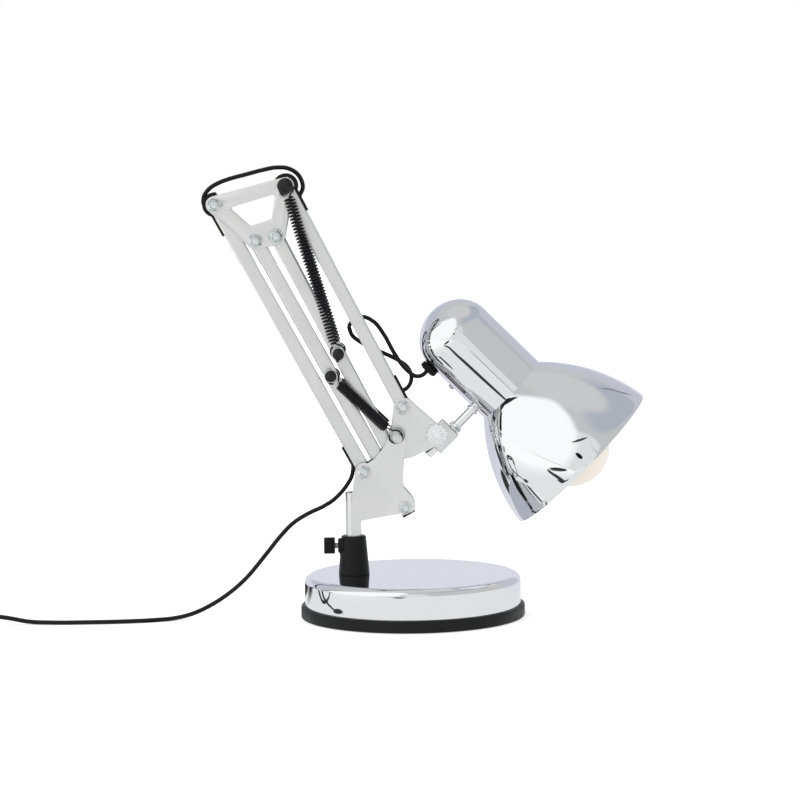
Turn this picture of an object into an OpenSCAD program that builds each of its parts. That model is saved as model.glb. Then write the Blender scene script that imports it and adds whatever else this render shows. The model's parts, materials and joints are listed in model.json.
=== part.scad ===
// Balanced-arm desk lamp: weighted round base, two parallelogram arms of folded
// channel with tension springs, and a bell shade on a domed lamp housing.
// Origin: centre of the base's underside. +Z up, +X towards the shade, the arms
// lie in the XZ plane. All sizes in millimetres.

/* [Base] */
// Diameter of the pressed drum
drum_d = 151.4; // [140:0.1:165]
// Height of the drum's top above the table
drum_h = 29.9; // [26:0.1:36]
// Rounding of the drum's top edge
drum_edge = 5; // [2:0.5:8]
// How far the foot ring stands out past the drum
ring_out = 2.8; // [1.5:0.1:5]
// Height of the foot ring
ring_h = 8.9; // [7:0.1:11]
// Thickness of the cast ballast disc
ballast_h = 12; // [8:0.5:14]
// Wall of the drum, the lamp housing and the shade
sheet = 0.8; // [0.6:0.1:1]

/* [Socket] */
// How far the socket stands to the left of the base's centre
socket_left = 41; // [36:0.5:46]
// Height of the socket above the drum
socket_h = 27.5; // [24:0.5:34]
// Diameter of the socket at its foot
socket_foot_d = 21.7; // [20:0.1:26]
// Diameter of the socket at its mouth
socket_top_d = 17; // [16:0.1:19]
// Diameter of the spigot that turns in the socket
spigot_d = 11; // [9:0.1:12]
// How deep the spigot goes into the socket
spigot_depth = 20; // [16:0.5:21]
// Diameter of the thumbscrew's knob
thumb_d = 11.5; // [9:0.5:14]
// Length of the thumbscrew's knob
thumb_len = 7.6; // [6:0.1:10]

/* [Arms] */
// Length of the lower arm between its pivots
lower_len = 212.6; // [190:0.1:240]
// Lean of the lower arm from the horizontal, on the left side
lower_lean = 61.6; // [58:0.1:64]
// Length of the upper arm between its pivots
upper_len = 173.9; // [160:0.1:174]
// Slope of the upper arm below the horizontal
upper_slope = 62.9; // [61.5:0.1:64]
// Spacing of the lower arm's two pivots
lower_pitch = 37.6; // [36:0.1:40]
// Slope of the lower arm's pivot pair below the horizontal
lower_pitch_slope = 42; // [38:0.5:43]
// Spacing of the upper arm's two pivots
upper_pitch = 35.5; // [34:0.1:37]
// Slope of the upper arm's pivot pair, measured past the vertical
upper_pitch_lean = 11.4; // [10:0.1:12]
// Width of an arm channel, seen from the front
bar_w = 9.3; // [8.6:0.1:9.5]
// Depth of an arm channel, front to rear
bar_depth = 9.5; // [9:0.1:10]
// Sheet that the channels and plates are folded from
bar_sheet = 1; // [0.8:0.1:1.2]
// Diameter of the pivot bolts
bolt_d = 5; // [4:0.1:5.5]
// Length of an arm channel beyond its pivots
bar_end = 5; // [4.5:0.1:6]

/* [Brackets] */
// Distance between the elbow's two top pivots, sideways
elbow_run = 49.4; // [46:0.1:54]
// Rise between the elbow's two top pivots
elbow_rise = 12.5; // [10:0.1:15]
// Radius of the elbow plates' corners
elbow_corner = 6; // [5.5:0.1:6.5]
// Thickness of the elbow and head plates
plate_t = 1.2; // [1:0.1:1.5]
// Offset of the lower bracket's rear pivot from the spigot's axis
pivot_off = 8.2; // [7:0.1:9.5]
// Height of the lower bracket's rear pivot above the socket
pivot_rise = 45.4; // [44:0.1:50]
// Inside width between the lower bracket's plates
bracket_gap = 14.6; // [14.2:0.1:15]

/* [Springs] */
// Outer diameter of the long springs
long_spring_d = 8.4; // [7.5:0.1:9]
// Outer diameter of the short springs
short_spring_d = 8; // [7.5:0.1:8.5]
// Diameter of the spring wire
spring_wire = 1.2; // [1:0.1:1.4]
// Place of the long spring's lower post, along the upper arm
long_post_at = 92.1; // [80:0.1:100]
// Place of the short spring's upper post, along the lower arm
short_post_at = 107.1; // [100:0.1:115]
// Diameter of the spring posts
post_d = 5; // [4:0.1:5.5]
// Diameter of the black caps on the arms' posts
cap_d = 9.4; // [8.5:0.1:10]
// Diameter of the black caps on the elbow's post
elbow_cap_d = 11; // [9:0.1:12]

/* [Head] */
// Tilt pivot: distance to the right of the head bracket's top pivot
tilt_run = 23.3; // [22:0.1:26]
// Tilt pivot: distance below the head bracket's top pivot
tilt_drop = 19.2; // [17:0.1:21]
// Slope of the lamp's axis below the horizontal
head_slope = 45; // [40:0.5:47]
// Distance from the tilt pivot to the lamp's axis
axis_off = 58.3; // [56:0.1:62]
// Diameter of the lamp housing
housing_d = 55; // [52:0.1:57]
// Distance from the tilt pivot to the neck, along the lamp's axis
neck_at = 15.7; // [14:0.1:18]
// Length of the housing, from its nose to the neck
housing_len = 78.1; // [74:0.1:84]
// Length of the shade, from the neck to the rim
shade_len = 68.7; // [64:0.1:74]
// Diameter of the shade's rim
rim_d = 123.5; // [118:0.1:130]
// Radius of the shade's bell curve
bell_r = 121; // [110:1:150]
// Diameter of the bulb's globe
bulb_d = 55; // [50:0.5:58]
// How far the bulb stands out past the rim
bulb_out = 16.8; // [10:0.1:19]
// Diameter of the stem between knuckle and housing
stem_d = 6.6; // [6:0.1:6.8]
// Offset of the stem from the tilt pivot, along the lamp's axis
stem_off = 6; // [6:0.1:7]

/* [Lead] */
// Width of the flat twin lead
lead_w = 5; // [4.5:0.1:5.2]
// Thickness of the flat twin lead
lead_t = 3; // [2.6:0.1:3.2]
// Innermost radius of the coiled lead, at the lead's middle
coil_inner_r = 19.8; // [19.8:0.1:21]
// Spacing of the coil's turns, sideways
coil_pitch = 5.5; // [5.5:0.1:6]
// Turns in each of the coil's two layers
coil_turns = 3.75; // [2.75:1:3.75]
// Length of the in-line switch
switch_len = 60; // [54:1:60]
// Height of the in-line switch
switch_h = 13; // [12:0.1:13.4]
// Length of the plug's body
plug_len = 36; // [34:1:38]
// Thickness of the plug's body
plug_t = 13.7; // [13:0.1:14]

/* [Hidden] */

$fn = 64;

// Clearances: a pin in its hole, the two open pivots, surfaces that pass each other
pin_fit = 0.05;
open_fit = 0.15;
pass_gap = 0.3;

// Directions and polar offsets in the XZ plane, as [x, z]
function polar(r, a) = [r * cos(a), r * sin(a)];
lower_dir = 180 - lower_lean;
upper_dir = 180 - upper_slope;

// Levels
socket_x = -socket_left;
socket_top = drum_h + socket_h;

// Pivots, as [x, z]: g and h on the lower bracket, a and c at the elbow's left,
// b and d at its right, e and i on the head bracket, k is the tilt pivot
piv_g = [socket_x + pivot_off, socket_top + pivot_rise];
piv_h = piv_g + polar(lower_pitch, -lower_pitch_slope);
piv_a = piv_g + polar(lower_len, lower_dir);
piv_c = piv_h + polar(lower_len, lower_dir);
piv_b = piv_a + [elbow_run, elbow_rise];
piv_d = piv_b + polar(upper_pitch, -90 - upper_pitch_lean);
piv_e = piv_b + polar(upper_len, upper_dir - 180);
piv_i = piv_d + polar(upper_len, upper_dir - 180);
piv_k = piv_e + [tilt_run, -tilt_drop];

// Spring anchors: long springs from b to p, short springs from q to f
post_p = piv_d + polar(long_post_at, upper_dir - 180);
post_q = piv_c + polar(short_post_at, lower_dir - 180);
stud_f = piv_g + [23.3, 23.8];
stud_r = 2.2;

// Depths from the arm plane
bar_half = bar_depth / 2;
plate_in = bar_half + pass_gap;
plate_out = plate_in + plate_t;
bracket_in = bracket_gap / 2;
bracket_out = bracket_in + plate_t;
long_spring_y = plate_out + pass_gap + 0.2 + long_spring_d / 2;
short_spring_y = bracket_out + pass_gap + 0.2 + short_spring_d / 2;

pivot_r = bolt_d / 2;
post_r = post_d / 2;
cap_r = cap_d / 2;
nut_flat = 8;
nut_h = 4;
washer_r = 5;
washer_t = 1;

// ---------------------------------------------------------------- helpers

// A cylinder along Y, from y0 to y1, at a point [x, z]
module y_cyl(p, r, y0, y1) {
    translate([p.x, y0, p.y]) rotate([-90, 0, 0]) cylinder(r = r, h = y1 - y0);
}

// A hexagon across its flats, along Y
module y_hex(p, flat, y0, y1) {
    translate([p.x, y0, p.y]) rotate([-90, 0, 0]) cylinder(d = flat / cos(30), h = y1 - y0, $fn = 6);
}

// A flat sheet in the XZ plane, from y0 to y1
module xz_sheet(y0, y1) {
    translate([0, y1, 0]) rotate([90, 0, 0]) linear_extrude(y1 - y0) children();
}

// A convex outline with round corners: counter-clockwise corner centres, and a radius
module rounded_poly(pts, r) {
    n = len(pts);
    polygon(pts);
    for (i = [0 : n - 1]) {
        p = pts[i];
        q = pts[(i + 1) % n];
        out = r * [q.y - p.y, p.x - q.x] / norm(q - p);
        translate(p) circle(r);
        polygon([p, p + out, q + out, q]);
    }
}

// The same things at the front (-Y) and mirrored at the rear (+Y)
module front_and_rear() {
    children();
    mirror([0, 1, 0]) children();
}

// Local frame of a bar: X along it from pivot p, Y depth, Z to the left of its direction
module bar_frame(p, dir) {
    translate([p.x, 0, p.y]) rotate([0, -dir, 0]) children();
}

// Points of an arc, as [x, y]
function arc(c, r, a0, a1, n) = [for (i = [0 : n]) c + polar(r, a0 + (a1 - a0) * i / n)];

function unit(v) = v / norm(v);

// Direction of travel at each point of a path
function tangents(path) = [
    for (i = [0 : len(path) - 1])
        unit(path[min(i + 1, len(path) - 1)] - path[max(i - 1, 0)])
];

// Sideways directions along a path: as near to Y as can be, or level
function across(path) = [for (t = tangents(path)) unit(cross(cross(t, [0, 1, 0]), t))];
function level(path) = [for (t = tangents(path)) unit(cross(t, [0, 0, 1]))];

// Faces of a tube of rings with the same number of sides, and its two flat ends
function tube_faces(count, sides) = concat(
    [for (i = [0 : count - 2], k = [0 : sides - 1])
        let (
            p0 = i * sides + k,
            p1 = i * sides + (k + 1) % sides
        )
        each [[p0, p0 + sides, p1], [p1, p0 + sides, p1 + sides]]
    ],
    [for (k = [1 : sides - 2])
        let (last = (count - 1) * sides)
        each [[0, k, k + 1], [last, last + k + 1, last + k]]
    ]
);

// A flat oval tube along a path, with its wide side along the given directions
module oval_tube(path, wides, half, sides) {
    t = tangents(path);
    rings = [
        for (i = [0 : len(path) - 1], k = [0 : sides - 1])
            let (a = 360 * (k + 0.5) / sides)
            path[i] + half.x * cos(a) * wides[i] + half.y * sin(a) * cross(wides[i], t[i])
    ];
    polyhedron(rings, tube_faces(len(path), sides));
}

// ---------------------------------------------------------------- base

drum_r = drum_d / 2;
ring_r = drum_r + ring_out;
pad_t = 1;
pad_r = drum_r - 6;
floor_top = 4;
screw_r = 2;
screw_head_r = 3.8;
screw_head_h = 2.2;
base_screw_ring = 50;
base_screw_angles = [60, 180, 300];

module at_base_screws() {
    for (a = base_screw_angles) rotate([0, 0, a]) translate([base_screw_ring, 0, 0]) children();
}

module base_ring() {
    color([0.05, 0.05, 0.05]) difference() {
        rotate_extrude($fn = 128) polygon([
            [0, pad_t], [pad_r + 0.3, pad_t], [pad_r + 0.3, 0.4], [ring_r - 1, 0.4],
            [ring_r, 1.4], [ring_r, ring_h - 1], [ring_r - 1, ring_h],
            [drum_r + 0.1, ring_h], [drum_r + 0.1, floor_top], [0, floor_top]
        ]);
        at_base_screws() {
            translate([0, 0, pad_t - 1]) cylinder(r = screw_head_r + 0.2, h = screw_head_h + 1.1);
            cylinder(r = screw_r + pin_fit, h = floor_top + 1);
        }
    }
}

module base_shell() {
    top = drum_h;
    in_r = drum_r - sheet;
    in_edge = drum_edge - sheet;
    color([0.8, 0.81, 0.82]) difference() {
        rotate_extrude($fn = 128) polygon(concat(
            [[drum_r, floor_top]],
            arc([drum_r - drum_edge, top - drum_edge], drum_edge, 0, 90, 10),
            [[0, top], [0, top - sheet]],
            arc([drum_r - drum_edge, top - drum_edge], in_edge, 90, 0, 10),
            [[in_r, floor_top]]
        ));
        translate([socket_x, 0, top - sheet - 1]) cylinder(r = screw_r + 0.5 + pin_fit, h = sheet + 2);
    }
}

module ballast() {
    color([0.25, 0.25, 0.26]) difference() {
        translate([0, 0, floor_top]) cylinder(r = drum_r - sheet - 1.2, h = ballast_h, $fn = 128);
        at_base_screws() cylinder(r = screw_r + pin_fit, h = floor_top + ballast_h + 1);
    }
}

module base_pad() {
    color([0.12, 0.12, 0.12]) cylinder(r = pad_r, h = pad_t, $fn = 128);
}

socket_floor = socket_top - spigot_depth - pass_gap;
socket_bolt_r = screw_r + 0.5;

module base_fasteners() {
    color([0.7, 0.7, 0.7]) {
        at_base_screws() {
            translate([0, 0, pad_t]) cylinder(r = screw_head_r, h = screw_head_h - 0.1);
            cylinder_from(screw_r, pad_t, floor_top + 8);
        }
        // Bolt from inside the drum into the socket's foot
        translate([socket_x, 0, 0]) {
            cylinder_from(8, drum_h - sheet - 1.5, drum_h - sheet);
            cylinder_from(4.2, drum_h - sheet - 5, drum_h - sheet - 1.5);
            cylinder_from(socket_bolt_r, drum_h - sheet - 2, socket_floor - 1.2);
        }
    }
}

// A cylinder on Z between two heights
module cylinder_from(r, z0, z1) {
    translate([0, 0, z0]) cylinder(r = r, h = z1 - z0);
}

// ---------------------------------------------------------------- socket and thumbscrew

thumb_z = socket_top - 7;
boss_r = 5.2;
boss_x = socket_x - 11;
shank_r = 2;
insert_r = 3.4;
spigot_r = spigot_d / 2;
insert_x0 = boss_x + 0.8;
insert_x1 = socket_x - spigot_r - pass_gap;
thumb_gap = 2.2;

module x_cyl(r, x0, x1) {
    translate([x0, 0, thumb_z]) rotate([0, 90, 0]) cylinder(r = r, h = x1 - x0);
}

module socket() {
    color([0.05, 0.05, 0.05]) difference() {
        union() {
            translate([socket_x, 0, drum_h])
                cylinder(d1 = socket_foot_d, d2 = socket_top_d, h = socket_h);
            x_cyl(boss_r, boss_x, socket_x);
        }
        translate([socket_x, 0, socket_floor]) cylinder(r = spigot_r + pin_fit, h = socket_top);
        translate([socket_x, 0, drum_h - 1])
            cylinder(r = socket_bolt_r + pin_fit, h = socket_floor - drum_h);
        x_cyl(shank_r + pin_fit, boss_x - 1, socket_x);
        x_cyl(insert_r, insert_x0, insert_x1);
    }
}

// Threaded brass insert, moulded into the socket's boss
module thread_insert() {
    color([0.7, 0.65, 0.45]) difference() {
        x_cyl(insert_r, insert_x0, insert_x1);
        x_cyl(shank_r + pin_fit, insert_x0 - 1, insert_x1 + 1);
    }
}

knob_x1 = boss_x - thumb_gap;
knob_x0 = knob_x1 - thumb_len;
thumb_ribs = 20;

module thumb_knob() {
    core_r = thumb_d / 2 - 0.6;
    color([0.05, 0.05, 0.05]) difference() {
        union() {
            x_cyl(core_r, knob_x0, knob_x1);
            for (i = [0 : thumb_ribs - 1]) {
                a = 360 * i / thumb_ribs;
                translate([0, core_r * cos(a), core_r * sin(a)]) x_cyl(0.6, knob_x0 + 0.5, knob_x1 - 0.5);
            }
        }
        x_cyl(shank_r, knob_x0 + 2, knob_x1 + 1);
    }
}

module thumb_shank() {
    color([0.72, 0.72, 0.74]) x_cyl(shank_r, knob_x0 + 2, socket_x - spigot_r - 0.1);
}

// ---------------------------------------------------------------- lower bracket

tube_top = socket_top + 30.6;

// The bracket's outline, told from its pivots
module bracket_outline() {
    g = piv_g;
    h = piv_h;
    f = stud_f;
    polygon([
        f + [6.4, 1.6], f + [-6.4, 1.6], f + [-7.4, -2.4], f + [-9.6, -6.6],
        g + [7.6, 11.4], g + [4.6, 7.6], g + [0, 6.2],
        g + [-6, 0], [socket_x, g.y - 8], [socket_x, tube_top - 26],
        [socket_x + spigot_r - 0.4, tube_top - 26], g + [-2.9, -34.3],
        h + [-1, -4.1], h + [5, -3.4], h + [7.2, -1.4], h + [7.3, 2.6],
        h + [5, 7.2], h + [-0.4, 13.4], h + [-1.1, 18], h + [0.2, 34],
    ]);
    translate(f + [0, 1.8]) circle(6.4);
    translate(g) circle(6.4);
}

module lower_bracket() {
    wall = plate_t;
    color([0.82, 0.82, 0.82]) difference() {
        union() {
            translate([socket_x, 0, socket_top - spigot_depth])
                cylinder(r = spigot_r, h = tube_top - socket_top + spigot_depth);
            // Flared flanges that join the tube to the two plates
            front_and_rear() {
                xz_sheet(-bracket_out, -bracket_in) bracket_outline();
                translate([socket_x - wall / 2, -bracket_out + wall / 2, socket_top + 5])
                    cube([wall * 2, bracket_out - spigot_r + wall / 4, tube_top - socket_top - 6]);
            }
        }
        translate([socket_x, 0, socket_top - spigot_depth - 1])
            cylinder(r = spigot_r - wall, h = tube_top);
        for (p = [piv_g, piv_h]) y_cyl(p, pivot_r + pin_fit, -bracket_out - 1, bracket_out + 1);
        for (y = [-bracket_out - 1, bracket_in - 1]) y_cyl(stud_f, stud_r, y, y + plate_t + 2);
    }
}

// A bolt along Y: head at the rear, nut at the front, over a stack that ends at y
module cross_bolt(p, y, washers) {
    step = washers ? washer_t : 0;
    tip = y + step + nut_h + 1;
    y_cyl(p, pivot_r, -tip, y);
    y_hex(p, nut_flat, y, y + 3.2);
    difference() {
        y_hex(p, nut_flat, -y - step - nut_h, -y - step);
        y_cyl(p, pivot_r + 0.02, -tip, -y);
    }
    if (washers) difference() {
        y_cyl(p, washer_r, -y - step + 0.02, -y);
        y_cyl(p, pivot_r + 0.02, -tip, -y + 1);
    }
}

module lower_pivot_bolts() {
    color([0.75, 0.76, 0.77]) for (p = [piv_g, piv_h]) cross_bolt(p, bracket_out, false);
}

module lower_pivot_spacers() {
    color([0.7, 0.7, 0.7]) for (p = [piv_g, piv_h]) front_and_rear() difference() {
        y_cyl(p, washer_r, -bracket_in, -bar_half - pass_gap);
        y_cyl(p, pivot_r + pin_fit, -bracket_in - 1, -bar_half + 1);
    }
}

module spring_studs() {
    stud_end = short_spring_y + 2;
    color([0.8, 0.8, 0.8]) front_and_rear() {
        y_cyl(stud_f, stud_r, -stud_end, -bracket_in);
        y_cyl(stud_f, stud_r + 1.2, -stud_end - 1.4, -stud_end);
        y_cyl(stud_f, stud_r + 1.2, -bracket_out - 0.8, -bracket_out);
    }
}

// ---------------------------------------------------------------- arm bars

// Section of a folded channel: web at -side, open at +side (side is 1 or -1)
module channel(length, side) {
    fold = 1.4;
    w = bar_w;
    d = bar_depth;
    t = bar_sheet;
    difference() {
        rotate([side > 0 ? 0 : 180, 0, 0]) translate([-bar_end, 0, 0]) rotate([90, 0, 90])
            linear_extrude(length + 2 * bar_end) difference() {
                union() {
                    translate([-d / 2, -w / 2 + fold]) square([d, w - fold]);
                    translate([-d / 2 + fold, -w / 2]) square([d - 2 * fold, w]);
                    for (s = [-1, 1]) translate([s * (d / 2 - fold), -w / 2 + fold]) circle(fold);
                }
                translate([-d / 2 + t, -w / 2 + t]) square([d - 2 * t, w]);
            }
        for (x = [0, length]) translate([x, 0, 0]) pivot_hole(pin_fit);
    }
}

module pivot_hole(fit) {
    translate([0, -bar_depth, 0]) rotate([-90, 0, 0]) cylinder(r = pivot_r + fit, h = 2 * bar_depth);
}

plug_in = bar_half - bar_sheet - 0.1;
end_cap_t = 1.4;
rail_t = 1.3;
rail_from = 3;
rail_to = 22;
cheek_r = 8.6;
groove_half = lead_w / 2 + 0.5;
groove_z = pivot_r + 0.65;
lead_run_from = 24;

// Black moulded bush in a bar's end, with X out of the bar and its open side at +Z
module end_block(fit, top) {
    web_z = -bar_w / 2 + bar_sheet + 0.1;
    difference() {
        translate([-5, -plug_in, web_z]) cube([bar_end + 5.5, 2 * plug_in, top - web_z]);
        pivot_hole(fit);
    }
}

module end_bush(fit) {
    end_block(fit, bar_w / 2);
    end_cap();
}

module end_cap() {
    translate([bar_end, -bar_half, -bar_w / 2]) cube([end_cap_t, bar_depth, bar_w]);
}

// Round cheeks past a bar's end, which guide the lead between them over a saddle
module cheeks() {
    difference() {
        rotate([90, 0, 0]) cylinder(r = cheek_r, h = bar_depth - 0.4, center = true);
        rotate([90, 0, 0]) cylinder(r = cheek_r + 1, h = 2 * groove_half, center = true);
        translate([-20, -bar_half - 1, -bar_w / 2 - 10]) cube([20 + bar_end, bar_depth + 2, bar_w + 10.05]);
        translate([-20, -bar_half - 1, -bar_w / 2 - 10]) cube([40, bar_depth + 2, 10]);
    }
    difference() {
        translate([2.1, 0, -1.2]) rotate([90, 0, 0]) cylinder(r = 5, h = bar_depth - 0.4, center = true);
        translate([-20, -bar_half - 1, -10]) cube([20 + bar_end, bar_depth + 2, 20]);
        translate([-20, -bar_half - 1, -bar_w / 2 - 10]) cube([40, bar_depth + 2, 10]);
    }
}

// Bush of a bar that holds the lead: a groove over the pivot, and rails on the open side
module lead_bush(round_end) {
    difference() {
        union() {
            end_block(pin_fit, bar_w / 2 + rail_t - 0.3);
            translate([-rail_to, -bar_half + 0.4, bar_w / 2])
                cube([rail_to - rail_from, bar_depth - 0.8, rail_t]);
        }
        translate([3 - rail_to, -groove_half, groove_z]) cube([rail_to + 20, 2 * groove_half, bar_w]);
    }
    if (round_end) cheeks();
    else end_cap();
}

// Places a bush at the far end of a bar, or turned round at its near end
module at_bar_end(p, dir, far, side) {
    bar_frame(p, dir) rotate([side > 0 ? 0 : 180, 0, far ? 0 : 180]) children();
}

steel = [0.83, 0.83, 0.83];
black = [0.05, 0.05, 0.05];

module lower_rear_bar() {
    color(steel) bar_frame(piv_g, lower_dir) channel(lower_len, 1);
}

module lower_rear_bar_ends() {
    color(black) {
        at_bar_end(piv_g, lower_dir, false, 1) lead_bush(false);
        at_bar_end(piv_a, lower_dir, true, 1) lead_bush(true);
    }
}

// The lead inside a bar, flat in the channel
module lead_run(length) {
    translate([lead_run_from, 0, 0]) rotate([90, 0, 90]) linear_extrude(length - 2 * lead_run_from) {
        for (s = [-1, 1]) translate([s * (lead_w - lead_t) / 2, 0]) circle(lead_t / 2);
        translate([-(lead_w - lead_t) / 2, -lead_t / 2 + 0.1]) square([lead_w - lead_t, lead_t - 0.2]);
    }
}

module lead_lower_run() {
    color(black) bar_frame(piv_g, lower_dir) lead_run(lower_len);
}

module lower_front_bar() {
    color(steel) difference() {
        bar_frame(piv_h, lower_dir) channel(lower_len, 1);
        y_cyl(piv_c, pivot_r + open_fit, -bar_depth, bar_depth);
        y_cyl(post_q, post_r + 0.02, -bar_depth, bar_depth);
    }
}

module lower_front_bar_ends() {
    color(black) {
        at_bar_end(piv_h, lower_dir, false, 1) end_bush(pin_fit);
        at_bar_end(piv_c, lower_dir, true, 1) end_bush(open_fit);
    }
}

// A post through a bar or the elbow, and the domed caps on its ends
module spring_post(p, y) {
    y_cyl(p, post_r, -y - 3, y + 3);
}

module post_caps(p, y, r) {
    cap_from = y + spring_wire / 2 + 0.6;
    cap_t = 2.4;
    front_and_rear() difference() {
        union() {
            y_cyl(p, r, -cap_from - cap_t, -cap_from);
            translate([p.x, -cap_from - cap_t, p.y]) rotate([90, 0, 0])
                cylinder(r1 = r, r2 = r - 2, h = 1.4);
        }
        y_cyl(p, post_r, -y - 3, -y);
    }
}

module lower_spring_post() {
    color(steel) spring_post(post_q, short_spring_y);
}

module lower_post_caps() {
    color(black) post_caps(post_q, short_spring_y, cap_r);
}

module upper_under_bar() {
    color(steel) difference() {
        bar_frame(piv_i, upper_dir) channel(upper_len, -1);
        y_cyl(piv_i, pivot_r + open_fit, -bar_depth, bar_depth);
        y_cyl(post_p, post_r + 0.02, -bar_depth, bar_depth);
    }
}

module upper_under_bar_ends() {
    color(black) {
        at_bar_end(piv_i, upper_dir, false, -1) end_bush(open_fit);
        at_bar_end(piv_d, upper_dir, true, -1) end_bush(pin_fit);
    }
}

module upper_spring_post() {
    color(steel) spring_post(post_p, long_spring_y);
}

module upper_post_caps() {
    color(black) post_caps(post_p, long_spring_y, cap_r);
}

module upper_top_bar() {
    color(steel) bar_frame(piv_e, upper_dir) channel(upper_len, -1);
}

module upper_top_bar_ends() {
    color(black) {
        at_bar_end(piv_e, upper_dir, false, -1) lead_bush(false);
        at_bar_end(piv_b, upper_dir, true, -1) lead_bush(true);
    }
}

module lead_upper_run() {
    color(black) bar_frame(piv_e, upper_dir) lead_run(upper_len);
}

// ---------------------------------------------------------------- elbow

module elbow_outline() {
    difference() {
        rounded_poly([piv_a, piv_c, piv_d, piv_b], elbow_corner);
        // Window, set in from the pivots
        rounded_poly([piv_a + [13, -3], piv_c + [-3.2, 11.6], piv_d + [-4.4, 13], piv_b + [-9, -7.6]], 1.5);
        for (p = [piv_a, piv_b, piv_c, piv_d]) translate(p) circle(pivot_r + pin_fit);
    }
}

module elbow_plate_front() {
    color(steel) xz_sheet(-plate_out, -plate_in) elbow_outline();
}

module elbow_plate_rear() {
    color(steel) xz_sheet(plate_in, plate_out) elbow_outline();
}

module elbow_bolts() {
    color([0.75, 0.76, 0.77]) for (p = [piv_a, piv_c, piv_d]) cross_bolt(p, plate_out, true);
}

module elbow_spring_post() {
    color(steel) spring_post(piv_b, long_spring_y);
}

module elbow_post_caps() {
    color(black) post_caps(piv_b, long_spring_y, elbow_cap_d / 2);
}

// ---------------------------------------------------------------- springs

spring_sides = 6;
curl_rings = 8;
long_curls = 19;
short_curls = 13;

// Path of a spring on local X: straight off each post, then out to the coil
function spring_path(span, r0, r1, helix_r, curls) =
    let (
        lead_in = 8,
        grow = 3,
        x0 = r0 + 0.1,
        x1 = span - r1 - 0.1,
        turns = curls * curl_rings,
        pitch = (x1 - x0 - 2 * lead_in) / turns
    )
    concat(
        [[x0, 0, 0], [x0 + 2 * spring_wire, 0, 0]],
        [for (i = [0 : turns])
            let (
                ease = min(1, (i + 1) / grow, (turns - i + 1) / grow),
                a = 360 * i / curl_rings
            )
            [x0 + lead_in + pitch * i, helix_r * ease * cos(a), helix_r * ease * sin(a)]
        ],
        [[x1 - 2 * spring_wire, 0, 0], [x1, 0, 0]]
    );

// Index of the point in a ring that lies nearest to p
function nearest(p, ring) =
    let (d = [for (q = ring) norm(q - p)], least = min(d))
    [for (k = [0 : len(d) - 1]) if (d[k] == least) k][0];

// Rings of a round wire; each starts at the corner nearest to the last ring's start
function wire_ring(p, t, r, sides, start) =
    let (
        wide = unit(cross(t, abs(t.x) > 0.9 ? [0, 1, 0] : [1, 0, 0])),
        thin = cross(wide, t),
        ring = [for (k = [0 : sides - 1]) p + r * (cos(360 * k / sides) * wide + sin(360 * k / sides) * thin)],
        turn = nearest(start, ring)
    )
    [for (k = [0 : sides - 1]) ring[(k + turn) % sides]];

module wire_tube(path, r, sides) {
    t = tangents(path);
    rings = [
        for (
            i = 0, ring = wire_ring(path[0], t[0], r, sides, path[0] + [0, 0, r]);
            i < len(path);
            i = i + 1,
            ring = i < len(path)
                ? wire_ring(path[i], t[i], r, sides, ring[0] + path[i] - path[i - 1])
                : ring
        )
            each ring
    ];
    polyhedron(rings, tube_faces(len(path), sides));
}

// Least distance between turns half a curl or more apart, less the wire
function least_gap(path, apart, wire) =
    min([
        for (i = [0 : len(path) - 1 - apart], j = [i + apart : min(len(path) - 1, i + 3 * apart)])
            norm(path[i] - path[j])
    ]) - wire;

module spring(p, q, r1, y, coil_d, curls) {
    span = norm(q - p);
    dir = atan2(q.y - p.y, q.x - p.x);
    path = spring_path(span, post_r, r1, (coil_d - spring_wire) / 2, curls);
    echo(least_gap_in_spring = least_gap(path, curl_rings / 2, spring_wire));
    color(black) translate([p.x, y, p.y]) rotate([0, -dir, 0])
        wire_tube(path, spring_wire / 2, spring_sides);
}

module long_spring_front() {
    spring(piv_b, post_p, post_r, -long_spring_y, long_spring_d, long_curls);
}

module long_spring_rear() {
    spring(piv_b, post_p, post_r, long_spring_y, long_spring_d, long_curls);
}

module short_spring_front() {
    spring(post_q, stud_f, stud_r, -short_spring_y, short_spring_d, short_curls);
}

module short_spring_rear() {
    spring(post_q, stud_f, stud_r, short_spring_y, short_spring_d, short_curls);
}

// ---------------------------------------------------------------- head bracket

tilt_r = 2;

module head_plate_outline() {
    e = piv_e;
    i = piv_i;
    k = piv_k;
    difference() {
        union() {
            translate(e) circle(6.6);
            translate(i) circle(5);
            rounded_poly([e + [-3.6, 0], i + [-0.6, 0.4], i + [11.6, 2.4], k + [-0.4, -4.6],
                k + [-0.4, 3.4], e + [2, 3.2]], 3.2);
        }
        translate(e) circle(pivot_r + pin_fit);
        translate(i) circle(pivot_r + pin_fit);
        translate(k) circle(tilt_r + pin_fit);
    }
}

module head_plate_front() {
    color(steel) xz_sheet(-plate_out, -plate_in) head_plate_outline();
}

module head_plate_rear() {
    color(steel) xz_sheet(plate_in, plate_out) head_plate_outline();
}

knob_in = plate_out + pass_gap;
knob_t = 4;
knob_r = 7.4;
dome_r = 3.7;
dome_t = 3;

module head_bracket_bolts() {
    flush = bracket_in - pass_gap;
    color([0.75, 0.76, 0.77]) {
        cross_bolt(piv_e, plate_out, true);
        // Flat rivet at the lower pivot, which turns inside the lower bracket
        y_cyl(piv_i, pivot_r, -flush, flush);
        front_and_rear() y_cyl(piv_i, 4, -flush, -plate_out);
        // Clamp bolt of the tilt joint, head at the rear
        y_cyl(piv_k, tilt_r, -knob_in - knob_t, plate_out);
        y_cyl(piv_k, 4, plate_out, plate_out + 2.4);
    }
}

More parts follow.
